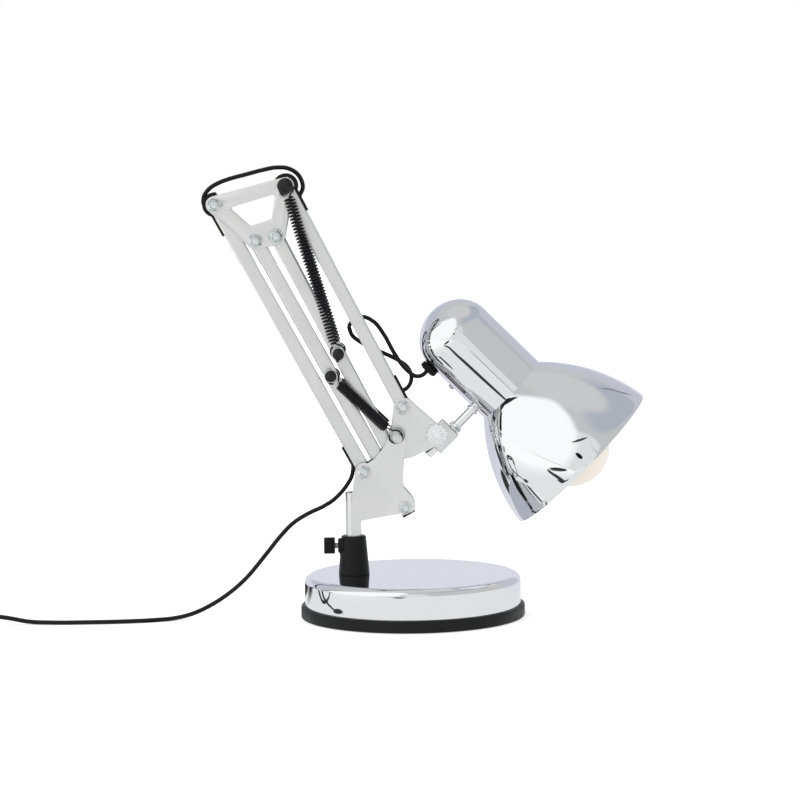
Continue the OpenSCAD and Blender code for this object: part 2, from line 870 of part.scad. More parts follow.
module wing_knob() {
    lobes = 12;
    color([0.85, 0.86, 0.88, 0.7]) difference() {
        union() {
            y_cyl(piv_k, knob_r - 0.8, -knob_in - knob_t, -knob_in);
            for (n = [0 : lobes - 1])
                y_cyl(piv_k + polar(knob_r - 0.9, 360 * n / lobes), 0.9, -knob_in - knob_t + 0.3, -knob_in - 0.3);
            y_cyl(piv_k, dome_r, -knob_in - knob_t - dome_t, -knob_in - knob_t);
        }
        y_cyl(piv_k, tilt_r + pin_fit, -knob_in - knob_t - 0.1, 0);
    }
}

// ---------------------------------------------------------------- head
// Local frame of the head at the tilt pivot: X along the lamp's axis towards the
// rim, Z square to it, up to the axis

module head_frame() {
    translate([piv_k.x, 0, piv_k.y]) rotate([0, head_slope, 0]) children();
}

// Frame with its Z on the lamp's axis, 0 level with the tilt pivot
module lamp_axis() {
    head_frame() translate([0, 0, axis_off]) rotate([0, 90, 0]) children();
}

housing_r = housing_d / 2;
nose_at = neck_at - housing_len;
rim_at = neck_at + shade_len;
dome_len = 25;
stem_foot = -15;
knuckle_half = bar_half;
housing_under = axis_off - housing_r;
stem_top = housing_under + 7;

module knuckle() {
    color([0.72, 0.74, 0.76]) difference() {
        head_frame() union() {
            translate([-4.5, -knuckle_half, -8]) cube([stem_off + stem_d / 2 + 7, 2 * knuckle_half, 18.5]);
            translate([0, 0, 0]) rotate([90, 0, 0]) cylinder(r = 5.5, h = 2 * knuckle_half, center = true);
        }
        y_cyl(piv_k, tilt_r + pin_fit, -bar_depth, bar_depth);
        head_frame() translate([stem_off, 0, -20]) cylinder(r = stem_d / 2, h = 60);
    }
}

module head_stem() {
    color([0.8, 0.81, 0.82]) head_frame() translate([stem_off, 0, stem_foot])
        cylinder(r = stem_d / 2, h = stem_top - stem_foot);
}

module stem_nut() {
    color([0.75, 0.76, 0.77]) head_frame() translate([stem_off, 0, housing_under + sheet + 0.9]) difference() {
        cylinder(d = 10 / cos(30), h = 4, $fn = 6);
        translate([0, 0, -1]) cylinder(r = stem_d / 2 + 0.02, h = 6);
    }
}

gland_at = nose_at + 26.9;
gland_r = 6.5;
gland_t = 4.5;
gland_neck_r = 4;
screw_at = nose_at + 46.9;

// Outline of the housing's outside, [radius, along], from the nose to the neck
function housing_outline(r, nose, n) = concat(
    [for (k = [0 : n]) let (a = 90 * k / n)
        [r * sin(a), nose + (dome_len + r - housing_r) * (1 - cos(a))]],
    [[r, neck_at]]
);

module lamp_housing() {
    color([0.82, 0.83, 0.84]) difference() {
        lamp_axis() difference() {
            rotate_extrude($fn = 96) polygon(concat(housing_outline(housing_r, nose_at, 16), [[0, neck_at]]));
            rotate_extrude($fn = 96) polygon(concat(
                housing_outline(housing_r - sheet, nose_at + sheet, 16), [[housing_r - sheet, neck_at + 1],
                [0, neck_at + 1]]));
        }
        head_frame() {
            translate([stem_off, 0, 0]) cylinder(r = stem_d / 2 + 0.02, h = axis_off);
            translate([gland_at, 0, 0]) cylinder(r = gland_neck_r + pin_fit, h = axis_off);
            translate([screw_at, 0, 0]) cylinder(r = 1.5 + pin_fit, h = axis_off);
        }
    }
}

// Radius of the bell at a place along it, on one arc from the neck to the rim
bell_from = [housing_r, neck_at];
bell_to = [rim_d / 2, rim_at];
bell_chord = bell_to - bell_from;
bell_mid = (bell_from + bell_to) / 2;
bell_centre = bell_mid
    + sqrt(bell_r * bell_r - bell_chord * bell_chord / 4) * [-bell_chord.y, bell_chord.x] / norm(bell_chord);
function bell_angle(p) = atan2(p.y - bell_centre.y, p.x - bell_centre.x);
holder_r = 19.5;

module shade() {
    a0 = bell_angle(bell_from);
    a1 = bell_angle(bell_to);
    color([0.82, 0.83, 0.84]) lamp_axis() rotate_extrude($fn = 96) polygon(concat(
        arc(bell_centre, bell_r, a0, a1, 20),
        arc(bell_centre, bell_r - sheet, a1, a0 + 0.3, 20),
        [[housing_r - 2 * sheet, neck_at + sheet], [holder_r + 0.1, neck_at + sheet],
            [holder_r + 0.1, neck_at]]
    ));
}

module shade_ring() {
    color(black) lamp_axis() difference() {
        cylinder_from(holder_r + 4, neck_at + sheet, neck_at + sheet + 6);
        cylinder_from(holder_r + 0.05, neck_at, neck_at + sheet + 7);
    }
}

holder_behind = 30;
holder_ahead = 9;
shoulder_t = 3;
shoulder_r = holder_r + 3.5;
cap_shell_r = 13.2;
cap_wall = 0.6;
cap_len = 24;
cap_front = neck_at + 11;
cap_back = cap_front - cap_len;
contact_r = 5;
contact_t = 4;

module lamp_holder() {
    color([0.08, 0.08, 0.08]) lamp_axis() difference() {
        union() {
            cylinder_from(holder_r, neck_at - holder_behind, neck_at + holder_ahead);
            cylinder_from(shoulder_r, neck_at - shoulder_t, neck_at);
        }
        cylinder_from(cap_shell_r + pass_gap, cap_back - contact_t, neck_at + holder_ahead + 1);
    }
}

// Shell of the bulb's cap, closed at its back, with the contact behind it
module bulb_cap() {
    color([0.75, 0.73, 0.66]) lamp_axis() {
        difference() {
            cylinder_from(cap_shell_r, cap_back, cap_front);
            cylinder_from(cap_shell_r - cap_wall, cap_back + 1, cap_front + 1);
        }
        cylinder_from(contact_r, cap_back - contact_t, cap_back);
    }
}

globe_r = bulb_d / 2;
globe_at = rim_at + bulb_out - globe_r;

// Outline of the glass, [radius, along], from the crown down to the cap
function glass_outline(r, mouth) = concat(
    arc([0, globe_at], r, 90, -32, 22),
    [for (k = [1 : 8])
        let (
            u = k / 8,
            from = polar(r, -32) + [0, globe_at]
        )
        [mouth + (from.x - mouth) * (1 - u) * (1 - u), from.y + (cap_front - from.y) * u]]
);

module bulb_glass() {
    glass = 0.9;
    color([0.97, 0.95, 0.88]) lamp_axis() difference() {
        rotate_extrude($fn = 96) polygon(concat(glass_outline(globe_r, cap_shell_r - 0.4), [[0, cap_front]]));
        rotate_extrude($fn = 96) polygon(concat(glass_outline(globe_r - glass, cap_shell_r - 0.4 - glass),
            [[cap_shell_r - 0.4 - glass, cap_front - 1], [0, cap_front - 1]]));
    }
}

module lead_gland() {
    color(black) head_frame() translate([gland_at, 0, housing_under - 0.1]) {
        cylinder_from(gland_r, -gland_t, 0);
        cylinder_from(gland_neck_r, -1, sheet + 3);
    }
}

module housing_screw() {
    color([0.75, 0.76, 0.77]) head_frame() translate([screw_at, 0, housing_under - 0.1]) {
        cylinder_from(2.2, -1.6, 0);
        cylinder_from(1.5, -1, sheet + 4);
    }
}

// ---------------------------------------------------------------- free lead
// Stretches between the gland, the bars and the table. Their points are chosen by
// hand, told from the nearest pivot: off_bar takes them along a bar, outwards from it
// and in Y, and near takes them in X, Y and Z

lead_half = [lead_w / 2, lead_t / 2];
free_sides = 8;

function off_bar(p, dir, side, places) = [
    for (s = places)
        let (q = p + polar(s[0], dir) + polar(s[1], dir + 90 * side)) [q.x, len(s) > 2 ? s[2] : 0, q.y]
];
function near(p, places) = [for (s = places) [p.x + s.x, s.y, p.y + s.z]];
function head_point(along, up) =
    let (q = piv_k + polar(along, -head_slope) + polar(up, 90 - head_slope)) [q.x, 0, q.y];

gland_face = housing_under - 0.1 - gland_t;
head_loop = concat(
    [head_point(gland_at, gland_face), head_point(gland_at, gland_face - 3)],
    near(piv_e, [
        [10.3, -1.5, 20.9], [2.3, -2, 25.8], [-5.7, 0.5, 37], [-12.7, 5.5, 50], [-19.7, 9.5, 59],
        [-26.7, 10, 62.5], [-33.2, 10, 61.5], [-37.2, 10, 56], [-35.2, 10, 50], [-28.7, 10, 44.5],
        [-20.7, 9.5, 40], [-11.7, 8, 36], [-3.7, 6.5, 32], [3.3, 5.2, 27], [6.2, 3.8, 20.5]
    ]),
    off_bar(piv_e, upper_dir, -1, [
        [10.5, 10, 1.6], [10, 6, 0.3], [12, 2.5], [16, 0.3], [21, 0], [lead_run_from, 0]
    ])
);
elbow_loop = concat(
    off_bar(piv_b, upper_dir - 180, 1, [[lead_run_from, 0], [21, 0], [16.5, 1.2], [12.5, 3.6], [9.8, 6.2]]),
    near(piv_b, [
        [11.7, 0, -2.3], [10.9, 0, 3.7], [7.5, 0, 8.7], [1.5, 0, 12], [-7, 0, 12.6], [-17.5, 0, 10.7]
    ]),
    near(piv_a, [
        [21.4, 0, 20.5], [11.4, 0, 18], [2.9, 0, 15], [-3.4, 0, 11.3], [-7.2, 0, 6.4],
        [-7.9, 0, 1.2], [-5.6, 0, -3.1], [-2.2, 0, -6.8]
    ]),
    off_bar(piv_a, lower_dir - 180, -1, [[9.2, 2.8], [14, 0.9], [21, 0], [lead_run_from, 0]])
);
tail_end = [-300, -18, switch_h / 2];
tail = concat(
    off_bar(piv_g, lower_dir, 1, [[lead_run_from, 0], [21, 0], [15, 1.1], [10, 3.5], [5, 6.3]]),
    near(piv_g, [
        [-9, 0, -3.8], [-12.2, 0, -9.6], [-17, 0, -15.6], [-22.7, 0, -20.8], [-30.2, 0, -25.3],
        [-40.2, 0, -29.8]
    ]),
    [
        [-83, 0, 66.8], [-92, 0, 57.8], [-101, 0, 46.8], [-108, 0, 38.2],
        [-115, 0, 30], [-126.5, 0, 19.5], [-140, -1, 10.5], [-155, -4.5, 4],
        [-168, -9.5, 1.8], [-180, -14, 1.6], [-200, -18.5, 1.6], [-225, -20, 1.6],
        [-250, -19.5, 1.6], [-268, -18.6, 2.4], [-282, -18.1, 5], [-294, -18, switch_h / 2],
        tail_end
    ]
);

module lead_head_loop() {
    color(black) oval_tube(head_loop, across(head_loop), lead_half, free_sides);
}

module lead_elbow_loop() {
    color(black) oval_tube(elbow_loop, across(elbow_loop), lead_half, free_sides);
}

module lead_tail() {
    color(black) oval_tube(tail, across(tail), lead_half, free_sides);
}

// In-line switch on the lead, then the coil and the plug beside it
switch_x = tail_end.x - switch_len / 2;
switch_y = tail_end.y;
switch_w = 25;
rocker_z = 10;
rocker_half = 9.6;
rocker_lean = 8;
rocker_pin_r = 1.2;

tie_t = 0.5;
tie_w = 4;
tie_gap = 0.15;
layer_step = lead_t + 0.5;
coil_sides = 6;
loop_rings = 24;
coil_outer_r = coil_inner_r + coil_pitch * coil_turns;
coil_low = tie_t + tie_gap + lead_t / 2;
coil_middle = [tail_end.x - switch_len - 40, switch_y + coil_outer_r];

// The coil spirals in on the table, climbs a layer in the half turn where the spiral
// turns round, and spirals out again on top; turns are counted from that middle
function coil_point(turn) =
    let (
        r = coil_inner_r + coil_pitch * abs(turn),
        rise = min(1, max(0, turn * 2 + 0.5)),
        a = -360 * turn
    )
    [coil_middle.x + r * cos(a), coil_middle.y + r * sin(a),
        coil_low + layer_step * rise * rise * (3 - 2 * rise)];

plug_x = coil_middle.x + coil_outer_r + 4;
plug_y = coil_middle.y + coil_outer_r;
coil_path = concat(
    [
        [tail_end.x - switch_len, switch_y, switch_h / 2],
        [tail_end.x - switch_len - 6, switch_y, switch_h / 2],
        [tail_end.x - switch_len - 18, switch_y, 4.4],
        [tail_end.x - switch_len - 30, switch_y, 2.4]
    ],
    [for (i = [-coil_turns * loop_rings : coil_turns * loop_rings]) coil_point(i / loop_rings)],
    [
        [coil_middle.x + 12, plug_y, coil_low + layer_step + 0.2],
        [coil_middle.x + 26, plug_y, plug_t / 2 - 0.4],
        [plug_x - 6, plug_y, plug_t / 2],
        [plug_x, plug_y, plug_t / 2]
    ]
);

// Distance between two places on the flat lead's surface, along the line between its middles
function lead_gap(p, q) =
    let (d = p - q, reach = norm([norm([d.x, d.y]) / lead_w, d.z / lead_t]))
    norm(d) * (1 - 1 / reach);
coil_gap = min([
    for (i = [0 : len(coil_path) - 1 - loop_rings / 2], j = [i + loop_rings / 2 : len(coil_path) - 1])
        lead_gap(coil_path[i], coil_path[j])
]);

module lead_coil() {
    echo(least_gap_in_coil = coil_gap);
    color(black) oval_tube(coil_path, level(coil_path), lead_half, coil_sides);
}

// Flat band round the coil's turns, on its left side
module coil_tie() {
    reach = tie_gap + lead_w / 2;
    from = coil_inner_r + coil_pitch * 0.5 - reach;
    to = coil_outer_r - coil_pitch * 0.25 + reach;
    top = coil_low + layer_step + lead_t / 2 + tie_gap;
    color(black) translate([coil_middle.x, coil_middle.y, 0]) difference() {
        translate([-to - tie_t, -tie_w / 2, 0]) cube([to - from + 2 * tie_t, tie_w, top + tie_t]);
        translate([-to, -tie_w, tie_t]) cube([to - from, 2 * tie_w, top - tie_t]);
    }
}

module switch_body() {
    corner = 4;
    half = [switch_len / 2 - corner, switch_w / 2 - corner];
    well = [rocker_half + 0.8, 6];
    color(black) translate([switch_x, switch_y, 0]) difference() {
        linear_extrude(switch_h) rounded_poly(
            [[-half.x, -half.y], [half.x, -half.y], [half.x, half.y], [-half.x, half.y]], corner);
        translate([-well.x, -well.y, rocker_z - 3.3]) cube([2 * well.x, 2 * well.y, switch_h]);
        translate([0, 0, rocker_z]) rotate([90, 0, 0])
            cylinder(r = rocker_pin_r + pin_fit, h = 2 * well.y + 3, center = true);
    }
}

module switch_rocker() {
    color([0.08, 0.08, 0.08]) translate([switch_x, switch_y, rocker_z]) rotate([0, -rocker_lean, 0]) {
        rotate([90, 0, 0]) linear_extrude(11.4, center = true) polygon([
            [-rocker_half, -1.5], [rocker_half, -1.5], [rocker_half, 4.4], [0, 3.4], [-rocker_half, 4.4]
        ]);
        rotate([90, 0, 0]) cylinder(r = rocker_pin_r, h = 14, center = true);
    }
}

pin_r = 2;
pin_len = 19;
pin_spread = 9.3;
pin_root = 3;

module plug_body() {
    face = 17.6;
    neck = 6;
    color(black) translate([plug_x, plug_y, 0]) difference() {
        intersection() {
            linear_extrude(plug_t) polygon([
                [0, -neck], [9, -neck - 1], [22, -face + 3], [plug_len, -face],
                [plug_len, face], [22, face - 3], [9, neck + 1], [0, neck]
            ]);
            translate([0, face + 1, 0]) rotate([90, 0, 0]) linear_extrude(2 * face + 2) polygon([
                [0, 3], [18, 0], [plug_len, 0], [plug_len, plug_t], [18, plug_t], [0, plug_t - 3]
            ]);
        }
        for (s = [-1, 1]) translate([plug_len - pin_root, s * pin_spread, plug_t / 2])
            rotate([0, 90, 0]) cylinder(r = pin_r, h = pin_len);
    }
}

module plug_pins() {
    color([0.75, 0.76, 0.77]) for (s = [-1, 1])
        translate([plug_x + plug_len - pin_root, plug_y + s * pin_spread, plug_t / 2])
            rotate([0, 90, 0]) cylinder(r = pin_r, h = pin_len + pin_root);
}

base_ring();
base_shell();
ballast();
base_pad();
base_fasteners();
socket();
thread_insert();
thumb_knob();
thumb_shank();
lower_bracket();
lower_pivot_bolts();
lower_pivot_spacers();
spring_studs();
lower_rear_bar();
lower_rear_bar_ends();
lead_lower_run();
lower_front_bar();
lower_front_bar_ends();
lower_spring_post();
lower_post_caps();
elbow_plate_front();
elbow_plate_rear();
elbow_bolts();
elbow_spring_post();
elbow_post_caps();
upper_under_bar();
upper_under_bar_ends();
upper_spring_post();
upper_post_caps();
upper_top_bar();
upper_top_bar_ends();
lead_upper_run();
long_spring_front();
long_spring_rear();
short_spring_front();
short_spring_rear();
head_plate_front();
head_plate_rear();
head_bracket_bolts();
wing_knob();
knuckle();
head_stem();
stem_nut();
lamp_housing();
shade();
shade_ring();
lamp_holder();
bulb_glass();
bulb_cap();
lead_gland();
housing_screw();
lead_head_loop();
lead_elbow_loop();
lead_tail();
lead_coil();
coil_tie();
switch_body();
switch_rocker();
plug_body();
plug_pins();
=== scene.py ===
import json
import math

import bpy
from mathutils import Matrix, Vector


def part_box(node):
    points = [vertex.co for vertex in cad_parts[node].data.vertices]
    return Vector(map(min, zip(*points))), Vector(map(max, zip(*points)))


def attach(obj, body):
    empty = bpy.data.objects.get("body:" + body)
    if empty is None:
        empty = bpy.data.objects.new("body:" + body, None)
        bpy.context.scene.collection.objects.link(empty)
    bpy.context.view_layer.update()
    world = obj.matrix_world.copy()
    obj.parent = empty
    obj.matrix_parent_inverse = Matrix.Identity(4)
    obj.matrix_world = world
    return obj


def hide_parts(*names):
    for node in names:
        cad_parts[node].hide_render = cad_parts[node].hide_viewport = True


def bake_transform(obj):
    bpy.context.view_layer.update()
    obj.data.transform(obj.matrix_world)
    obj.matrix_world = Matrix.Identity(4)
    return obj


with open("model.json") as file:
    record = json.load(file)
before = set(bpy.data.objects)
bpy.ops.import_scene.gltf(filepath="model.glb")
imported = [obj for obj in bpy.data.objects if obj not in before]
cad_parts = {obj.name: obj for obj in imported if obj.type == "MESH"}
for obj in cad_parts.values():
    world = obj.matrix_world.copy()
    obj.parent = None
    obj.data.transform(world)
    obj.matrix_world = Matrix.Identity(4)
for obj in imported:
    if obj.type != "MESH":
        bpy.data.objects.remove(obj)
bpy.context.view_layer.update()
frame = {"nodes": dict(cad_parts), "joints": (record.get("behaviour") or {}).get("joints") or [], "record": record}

# Sizes are in millimetres, and become metres when a piece is settled in its place.
# X is to the right in the picture, Y away from the camera, Z up.
MM = 0.001


def corners(node):
    """Lowest and highest corner of a CAD node, in millimetres."""
    low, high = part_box(node)
    return low / MM, high / MM


def middle(node):
    low, high = corners(node)
    return (low + high) / 2


# Pivots: G and H on the lower bracket, A and C at the elbow's left, B and D at its
# right, E and I on the head bracket, K is the tilt pivot
PIVOT = {joint["child"]: Vector(joint["pos_m"]) / MM for joint in frame["joints"]}
SWIVEL = PIVOT["swivel_bracket"]
G, H = PIVOT["lower_rear_arm"], PIVOT["lower_front_arm"]
A, B = PIVOT["elbow"], PIVOT["upper_top_arm"]
D, E, K = PIVOT["upper_under_arm"], PIVOT["head_bracket"], PIVOT["head"]
C, I = H + A - G, D + E - B
LONG_POST, SHORT_POST = middle("upper_spring_post"), middle("lower_spring_post")
STUD = middle("spring_studs")

BAR_DEPTH = 9.5
BAR_WIDTH = 9.3
SHEET = 1.0
BAR_END = 5.0
PLATE_IN = BAR_DEPTH / 2 + 0.3
PLATE_OUT = PLATE_IN + 1.2
BRACKET_IN = 7.3
BRACKET_OUT = BRACKET_IN + 1.2
BOLT_R = 2.5
BOLT_HOLE_R = BOLT_R + 0.05
POST_R = 2.5
POST_HOLE_R = POST_R + 0.02
STUD_R = 2.2
WIRE = 1.2
LONG_SPRING_Y = 10.95
SHORT_SPRING_Y = 13.0
LYING = (math.pi / 2, 0, 0)


# ---- modelling helpers

CUBE, CYLINDER = bpy.ops.mesh.primitive_cube_add, bpy.ops.mesh.primitive_cylinder_add


def pick(*pieces):
    bpy.ops.object.select_all(action="DESELECT")
    for piece in pieces:
        piece.select_set(True)
    bpy.context.view_layer.objects.active = pieces[0]


def in_place(piece):
    """Applies a piece's own place, turn and size to its mesh."""
    pick(piece)
    bpy.ops.object.transform_apply(location=True, rotation=True, scale=True)
    return piece


def fresh(name, primitive, **place):
    """Adds a primitive and names it."""
    bpy.ops.object.select_all(action="DESELECT")
    primitive(**place)
    piece = bpy.context.object
    piece.name = piece.data.name = name
    return piece


def edit(piece):
    pick(piece)
    bpy.ops.object.mode_set(mode="EDIT")
    bpy.ops.mesh.select_all(action="SELECT")


def done():
    bpy.ops.object.mode_set(mode="OBJECT")


def tidy_faces():
    """In edit mode: merges doubles and points all faces outwards."""
    bpy.ops.mesh.select_all(action="SELECT")
    bpy.ops.mesh.remove_doubles(threshold=0.001)
    bpy.ops.mesh.normals_make_consistent(inside=False)


def line_through(name, points):
    """A chain of edges through points, left in edit mode."""
    piece = fresh(name, bpy.ops.mesh.primitive_plane_add, size=1)
    edit(piece)
    bpy.ops.mesh.merge(type="CENTER")
    bpy.ops.transform.translate(value=points[0])
    for here, there in zip(points, points[1:]):
        step = Vector(there) - Vector(here)
        bpy.ops.mesh.extrude_vertices_move(TRANSFORM_OT_translate={"value": step})
    return piece


def lathe(name, outline, steps=96):
    """Turns an outline of (radius, height) points round Z."""
    piece = line_through(name, [(radius, 0, height) for radius, height in outline])
    bpy.ops.mesh.select_all(action="SELECT")
    bpy.ops.mesh.spin(steps=steps, angle=math.tau, axis=(0, 0, 1), center=(0, 0, 0))
    tidy_faces()
    done()
    return piece


def slab(name, outline, low, high):
    """A flat piece with a closed outline of (x, z) points, from y = low to high."""
    points = [(x, low, z) for x, z in outline]
    piece = line_through(name, points + points[:1])
    bpy.ops.mesh.select_all(action="SELECT")
    bpy.ops.mesh.remove_doubles(threshold=0.001)
    bpy.ops.mesh.edge_face_add()
    bpy.ops.mesh.extrude_region_move(TRANSFORM_OT_translate={"value": (0, high - low, 0)})
    tidy_faces()
    done()
    return piece


def apply_modifier(piece, kind, **settings):
    change = piece.modifiers.new(kind, kind)
    for setting, value in settings.items():
        setattr(change, setting, value)
    pick(piece)
    bpy.ops.object.modifier_apply(modifier=change.name)


def cut(piece, *tools, operation="DIFFERENCE"):
    for tool in tools:
        apply_modifier(piece, "BOOLEAN", object=tool, operation=operation, solver="EXACT")
        bpy.data.objects.remove(tool)


def drilled(piece, radius, *places, vertices=36, depth=60):
    """Cuts holes through the arm plane."""
    for place in places:
        cut(piece, fresh("hole", CYLINDER, vertices=vertices, radius=radius, depth=depth,
                         location=(place.x, 0, place.z), rotation=LYING))


def soften(piece, width, segments=2, angle=30):
    apply_modifier(piece, "BEVEL", width=width, segments=segments, limit_method="ANGLE",
                   angle_limit=math.radians(angle))


def block(name, centre, size):
    piece = fresh(name, CUBE, size=1, location=centre)
    piece.scale = size
    return in_place(piece)


def smooth(piece, angle=35):
    pick(piece)
    bpy.ops.object.shade_smooth_by_angle(angle=math.radians(angle))
    return piece


def joined(name, *pieces):
    pick(*pieces)
    bpy.ops.object.join()
    piece = bpy.context.object
    piece.name = piece.data.name = name
    return piece


def copy_of(piece, name):
    twin = piece.copy()
    twin.data = piece.data.copy()
    twin.name = twin.data.name = name
    bpy.context.scene.collection.objects.link(twin)
    return twin


def turned(name, outline, steps, angle=35):
    """A smooth lathed piece."""
    return smooth(lathe(name, outline, steps), angle)


def settle(piece, origin=(0, 0, 0), along=(1, 0, 0), up=(0, 0, 1)):
    """Takes a piece modelled in millimetres to its place, with its X along and its Z up."""
    z = Vector(up).normalized()
    x = Vector(along)
    x = (x - x.dot(z) * z).normalized()
    turn = Matrix((x, z.cross(x), z)).transposed().to_4x4()
    piece.matrix_world = Matrix.Scale(MM, 4) @ Matrix.Translation(Vector(origin)) @ turn
    bpy.context.view_layer.update()
    return in_place(piece)


def front_and_rear(name, piece, at, reach=0, along=(1, 0, 0)):
    """A piece on Z and its copy, facing the front and the rear at a pivot, as one."""
    twin = copy_of(piece, name + "_rear")
    settle(piece, at + FRONT * reach, along=along, up=FRONT)
    settle(twin, at + REAR * reach, along=along, up=REAR)
    return joined(name, piece, twin)


def arc(centre, radius, start, end, count):
    """Points of an arc, in degrees, as pairs."""
    turns = [math.radians(start + (end - start) * i / count) for i in range(count + 1)]
    return [(centre[0] + radius * math.cos(a), centre[1] + radius * math.sin(a)) for a in turns]


def polar(distance, degrees):
    """A step in the XZ plane."""
    angle = math.radians(degrees)
    return Vector((distance * math.cos(angle), 0, distance * math.sin(angle)))


def slope_of(here, there):
    return math.degrees(math.atan2(there.z - here.z, there.x - here.x))


def round_outline(places, radius, count=6):
    """Corners of a convex outline, as (x, z), rounded with the same radius."""
    points = []
    for i, place in enumerate(places):
        before, after = places[i - 1], places[(i + 1) % len(places)]
        start = math.degrees(math.atan2(place[1] - before[1], place[0] - before[0])) - 90
        end = math.degrees(math.atan2(after[1] - place[1], after[0] - place[0])) - 90
        points += arc(place, radius, start, start + (end - start) % 360, count)
    return points


def ribs(count, steps):
    """Outline of a knob's rim, with the same (angle, radius) steps at each rib."""
    return [tuple(polar(reach, 360 * i / count + step).xz) for i in range(count) for step, reach in steps]


# ---- materials

def feed(tree, socket, value):
    """Gives a socket a plain value, or links it to another socket."""
    if isinstance(value, bpy.types.NodeSocket):
        tree.links.new(value, socket)
    else:
        socket.default_value = value


def add_node(tree, kind, settings=None, **inputs):
    """A shader node with its settings and inputs; an input's spaces are written as _."""
    made = tree.nodes.new("ShaderNode" + kind)
    for key, value in (settings or {}).items():
        setattr(made, key, value)
    for label, value in inputs.items():
        feed(tree, made.inputs[label.replace("_", " ")], value)
    return made


def blended(tree, mask, under, over):
    """Two colours mixed by a mask."""
    mix = add_node(tree, "Mix", {"data_type": "RGBA"}, Factor=mask, A=under, B=over)
    return mix.outputs["Result"]


def ramp(tree, value, start, end, low, high):
    """A value that runs smoothly from low to high between start and end."""
    return add_node(tree, "MapRange", {"interpolation_type": "SMOOTHSTEP"}, Value=value, From_Min=start,
                    From_Max=end, To_Min=low, To_Max=high).outputs["Result"]


def new_group(name, output, kind, **inputs):
    """A shader group with numbers and colours going in and one output."""
    group = bpy.data.node_groups.new(name, "ShaderNodeTree")
    for label, value in inputs.items():
        sort = "NodeSocketColor" if isinstance(value, tuple) else "NodeSocketFloat"
        group.interface.new_socket(label, in_out="INPUT", socket_type=sort).default_value = value
    group.interface.new_socket(output, in_out="OUTPUT", socket_type=kind)
    given, made = group.nodes.new("NodeGroupInput"), group.nodes.new("NodeGroupOutput")
    return group, given.outputs, made.inputs[output]


def noise_on(group, scale, detail):
    """Noise on Object coordinates, its scale per metre."""
    place = add_node(group, "TexCoord").outputs["Object"]
    return add_node(group, "TexNoise", Vector=place, Scale=scale, Detail=detail).outputs["Fac"]


def smudges_group():
    """Soft patches of more and less gloss, as fingers and cloths leave."""
    group, given, made = new_group("Smudges", "Roughness", "NodeSocketFloat", Scale=30, Low=0, High=1)
    noise = noise_on(group, given["Scale"], 3)
    group.links.new(ramp(group, noise, 0.35, 0.7, given["Low"], given["High"]), made)
    return group


def tone_group():
    """A colour that drifts a little between two tones."""
    group, given, made = new_group("Tone", "Color", "NodeSocketColor", Scale=20, Light=(1, 1, 1, 1),
                                   Dark=(0, 0, 0, 1))
    noise = noise_on(group, given["Scale"], 4)
    group.links.new(blended(group, noise, given["Light"], given["Dark"]), made)
    return group


def grain_group():
    """Height of a fine grain, such as spark-eroded mould skin or tumbled plating."""
    group, given, made = new_group("Grain", "Height", "NodeSocketFloat", Scale=1500)
    group.links.new(noise_on(group, given["Scale"], 2), made)
    return group


SMUDGES, TONE, GRAIN = smudges_group(), tone_group(), grain_group()


def surface(name, light, dark, rough, metal=0.0, grain=None, grain_depth=0.05, tone_scale=25.0,
            smudge_scale=30.0, **shader):
    """A material: two near tones, a range of roughness, a grain, and fixed shader values."""
    material = bpy.data.materials.new(name)
    material.use_nodes = True
    tree = material.node_tree
    tone = add_node(tree, "Group", {"node_tree": TONE}, Scale=tone_scale, Light=(*light, 1), Dark=(*dark, 1))
    smudge = add_node(tree, "Group", {"node_tree": SMUDGES}, Scale=smudge_scale, Low=rough[0], High=rough[1])
    shader |= {"Metallic": metal, "Base_Color": tone.outputs["Color"],
               "Roughness": smudge.outputs["Roughness"]}
    if grain:
        height = add_node(tree, "Group", {"node_tree": GRAIN}, Scale=grain).outputs["Height"]
        bump = add_node(tree, "Bump", Strength=grain_depth, Distance=0.0002, Height=height)
        shader["Normal"] = bump.outputs["Normal"]
    bsdf = tree.nodes["Principled BSDF"]
    for label, value in shader.items():
        feed(tree, bsdf.inputs[label.replace("_", " ")], value)
    return material


def look(light, dark, rough, **values):
    """What surface needs to make a material."""
    return {"light": light, "dark": dark, "rough": rough, **values}


def mirror_chrome():
    """Bright chrome: a near-perfect mirror with the faintest wiping marks."""
    return look((0.86, 0.865, 0.88), (0.82, 0.825, 0.84), (0.015, 0.045), metal=1.0, tone_scale=12,
                smudge_scale=22)


def bright_plating(level):
    """Bright zinc-nickel plating on pressed sheet: satin, with a fine tumbled grain."""
    return look((level, level, level * 0.99), (level * 0.93, level * 0.935, level * 0.93), (0.26, 0.38),
                metal=0.85, grain=1800, grain_depth=0.08, tone_scale=18, smudge_scale=35)


def zinc(light=(0.8, 0.84, 0.83), dark=(0.68, 0.72, 0.72)):
    """Cool zinc on nuts, bolts and die-cast parts."""
    return look(light, dark, (0.14, 0.3), metal=1.0, grain=2500, grain_depth=0.1, tone_scale=150,
                smudge_scale=160)


def moulded_black(level, rough, gloss=0.2):
    """Black moulded plastic with a fine mould skin."""
    return look((level * 1.3,) * 3, (level * 0.7,) * 3, rough, grain=2200, grain_depth=0.12, tone_scale=60,
                smudge_scale=60, Specular_IOR_Level=gloss)


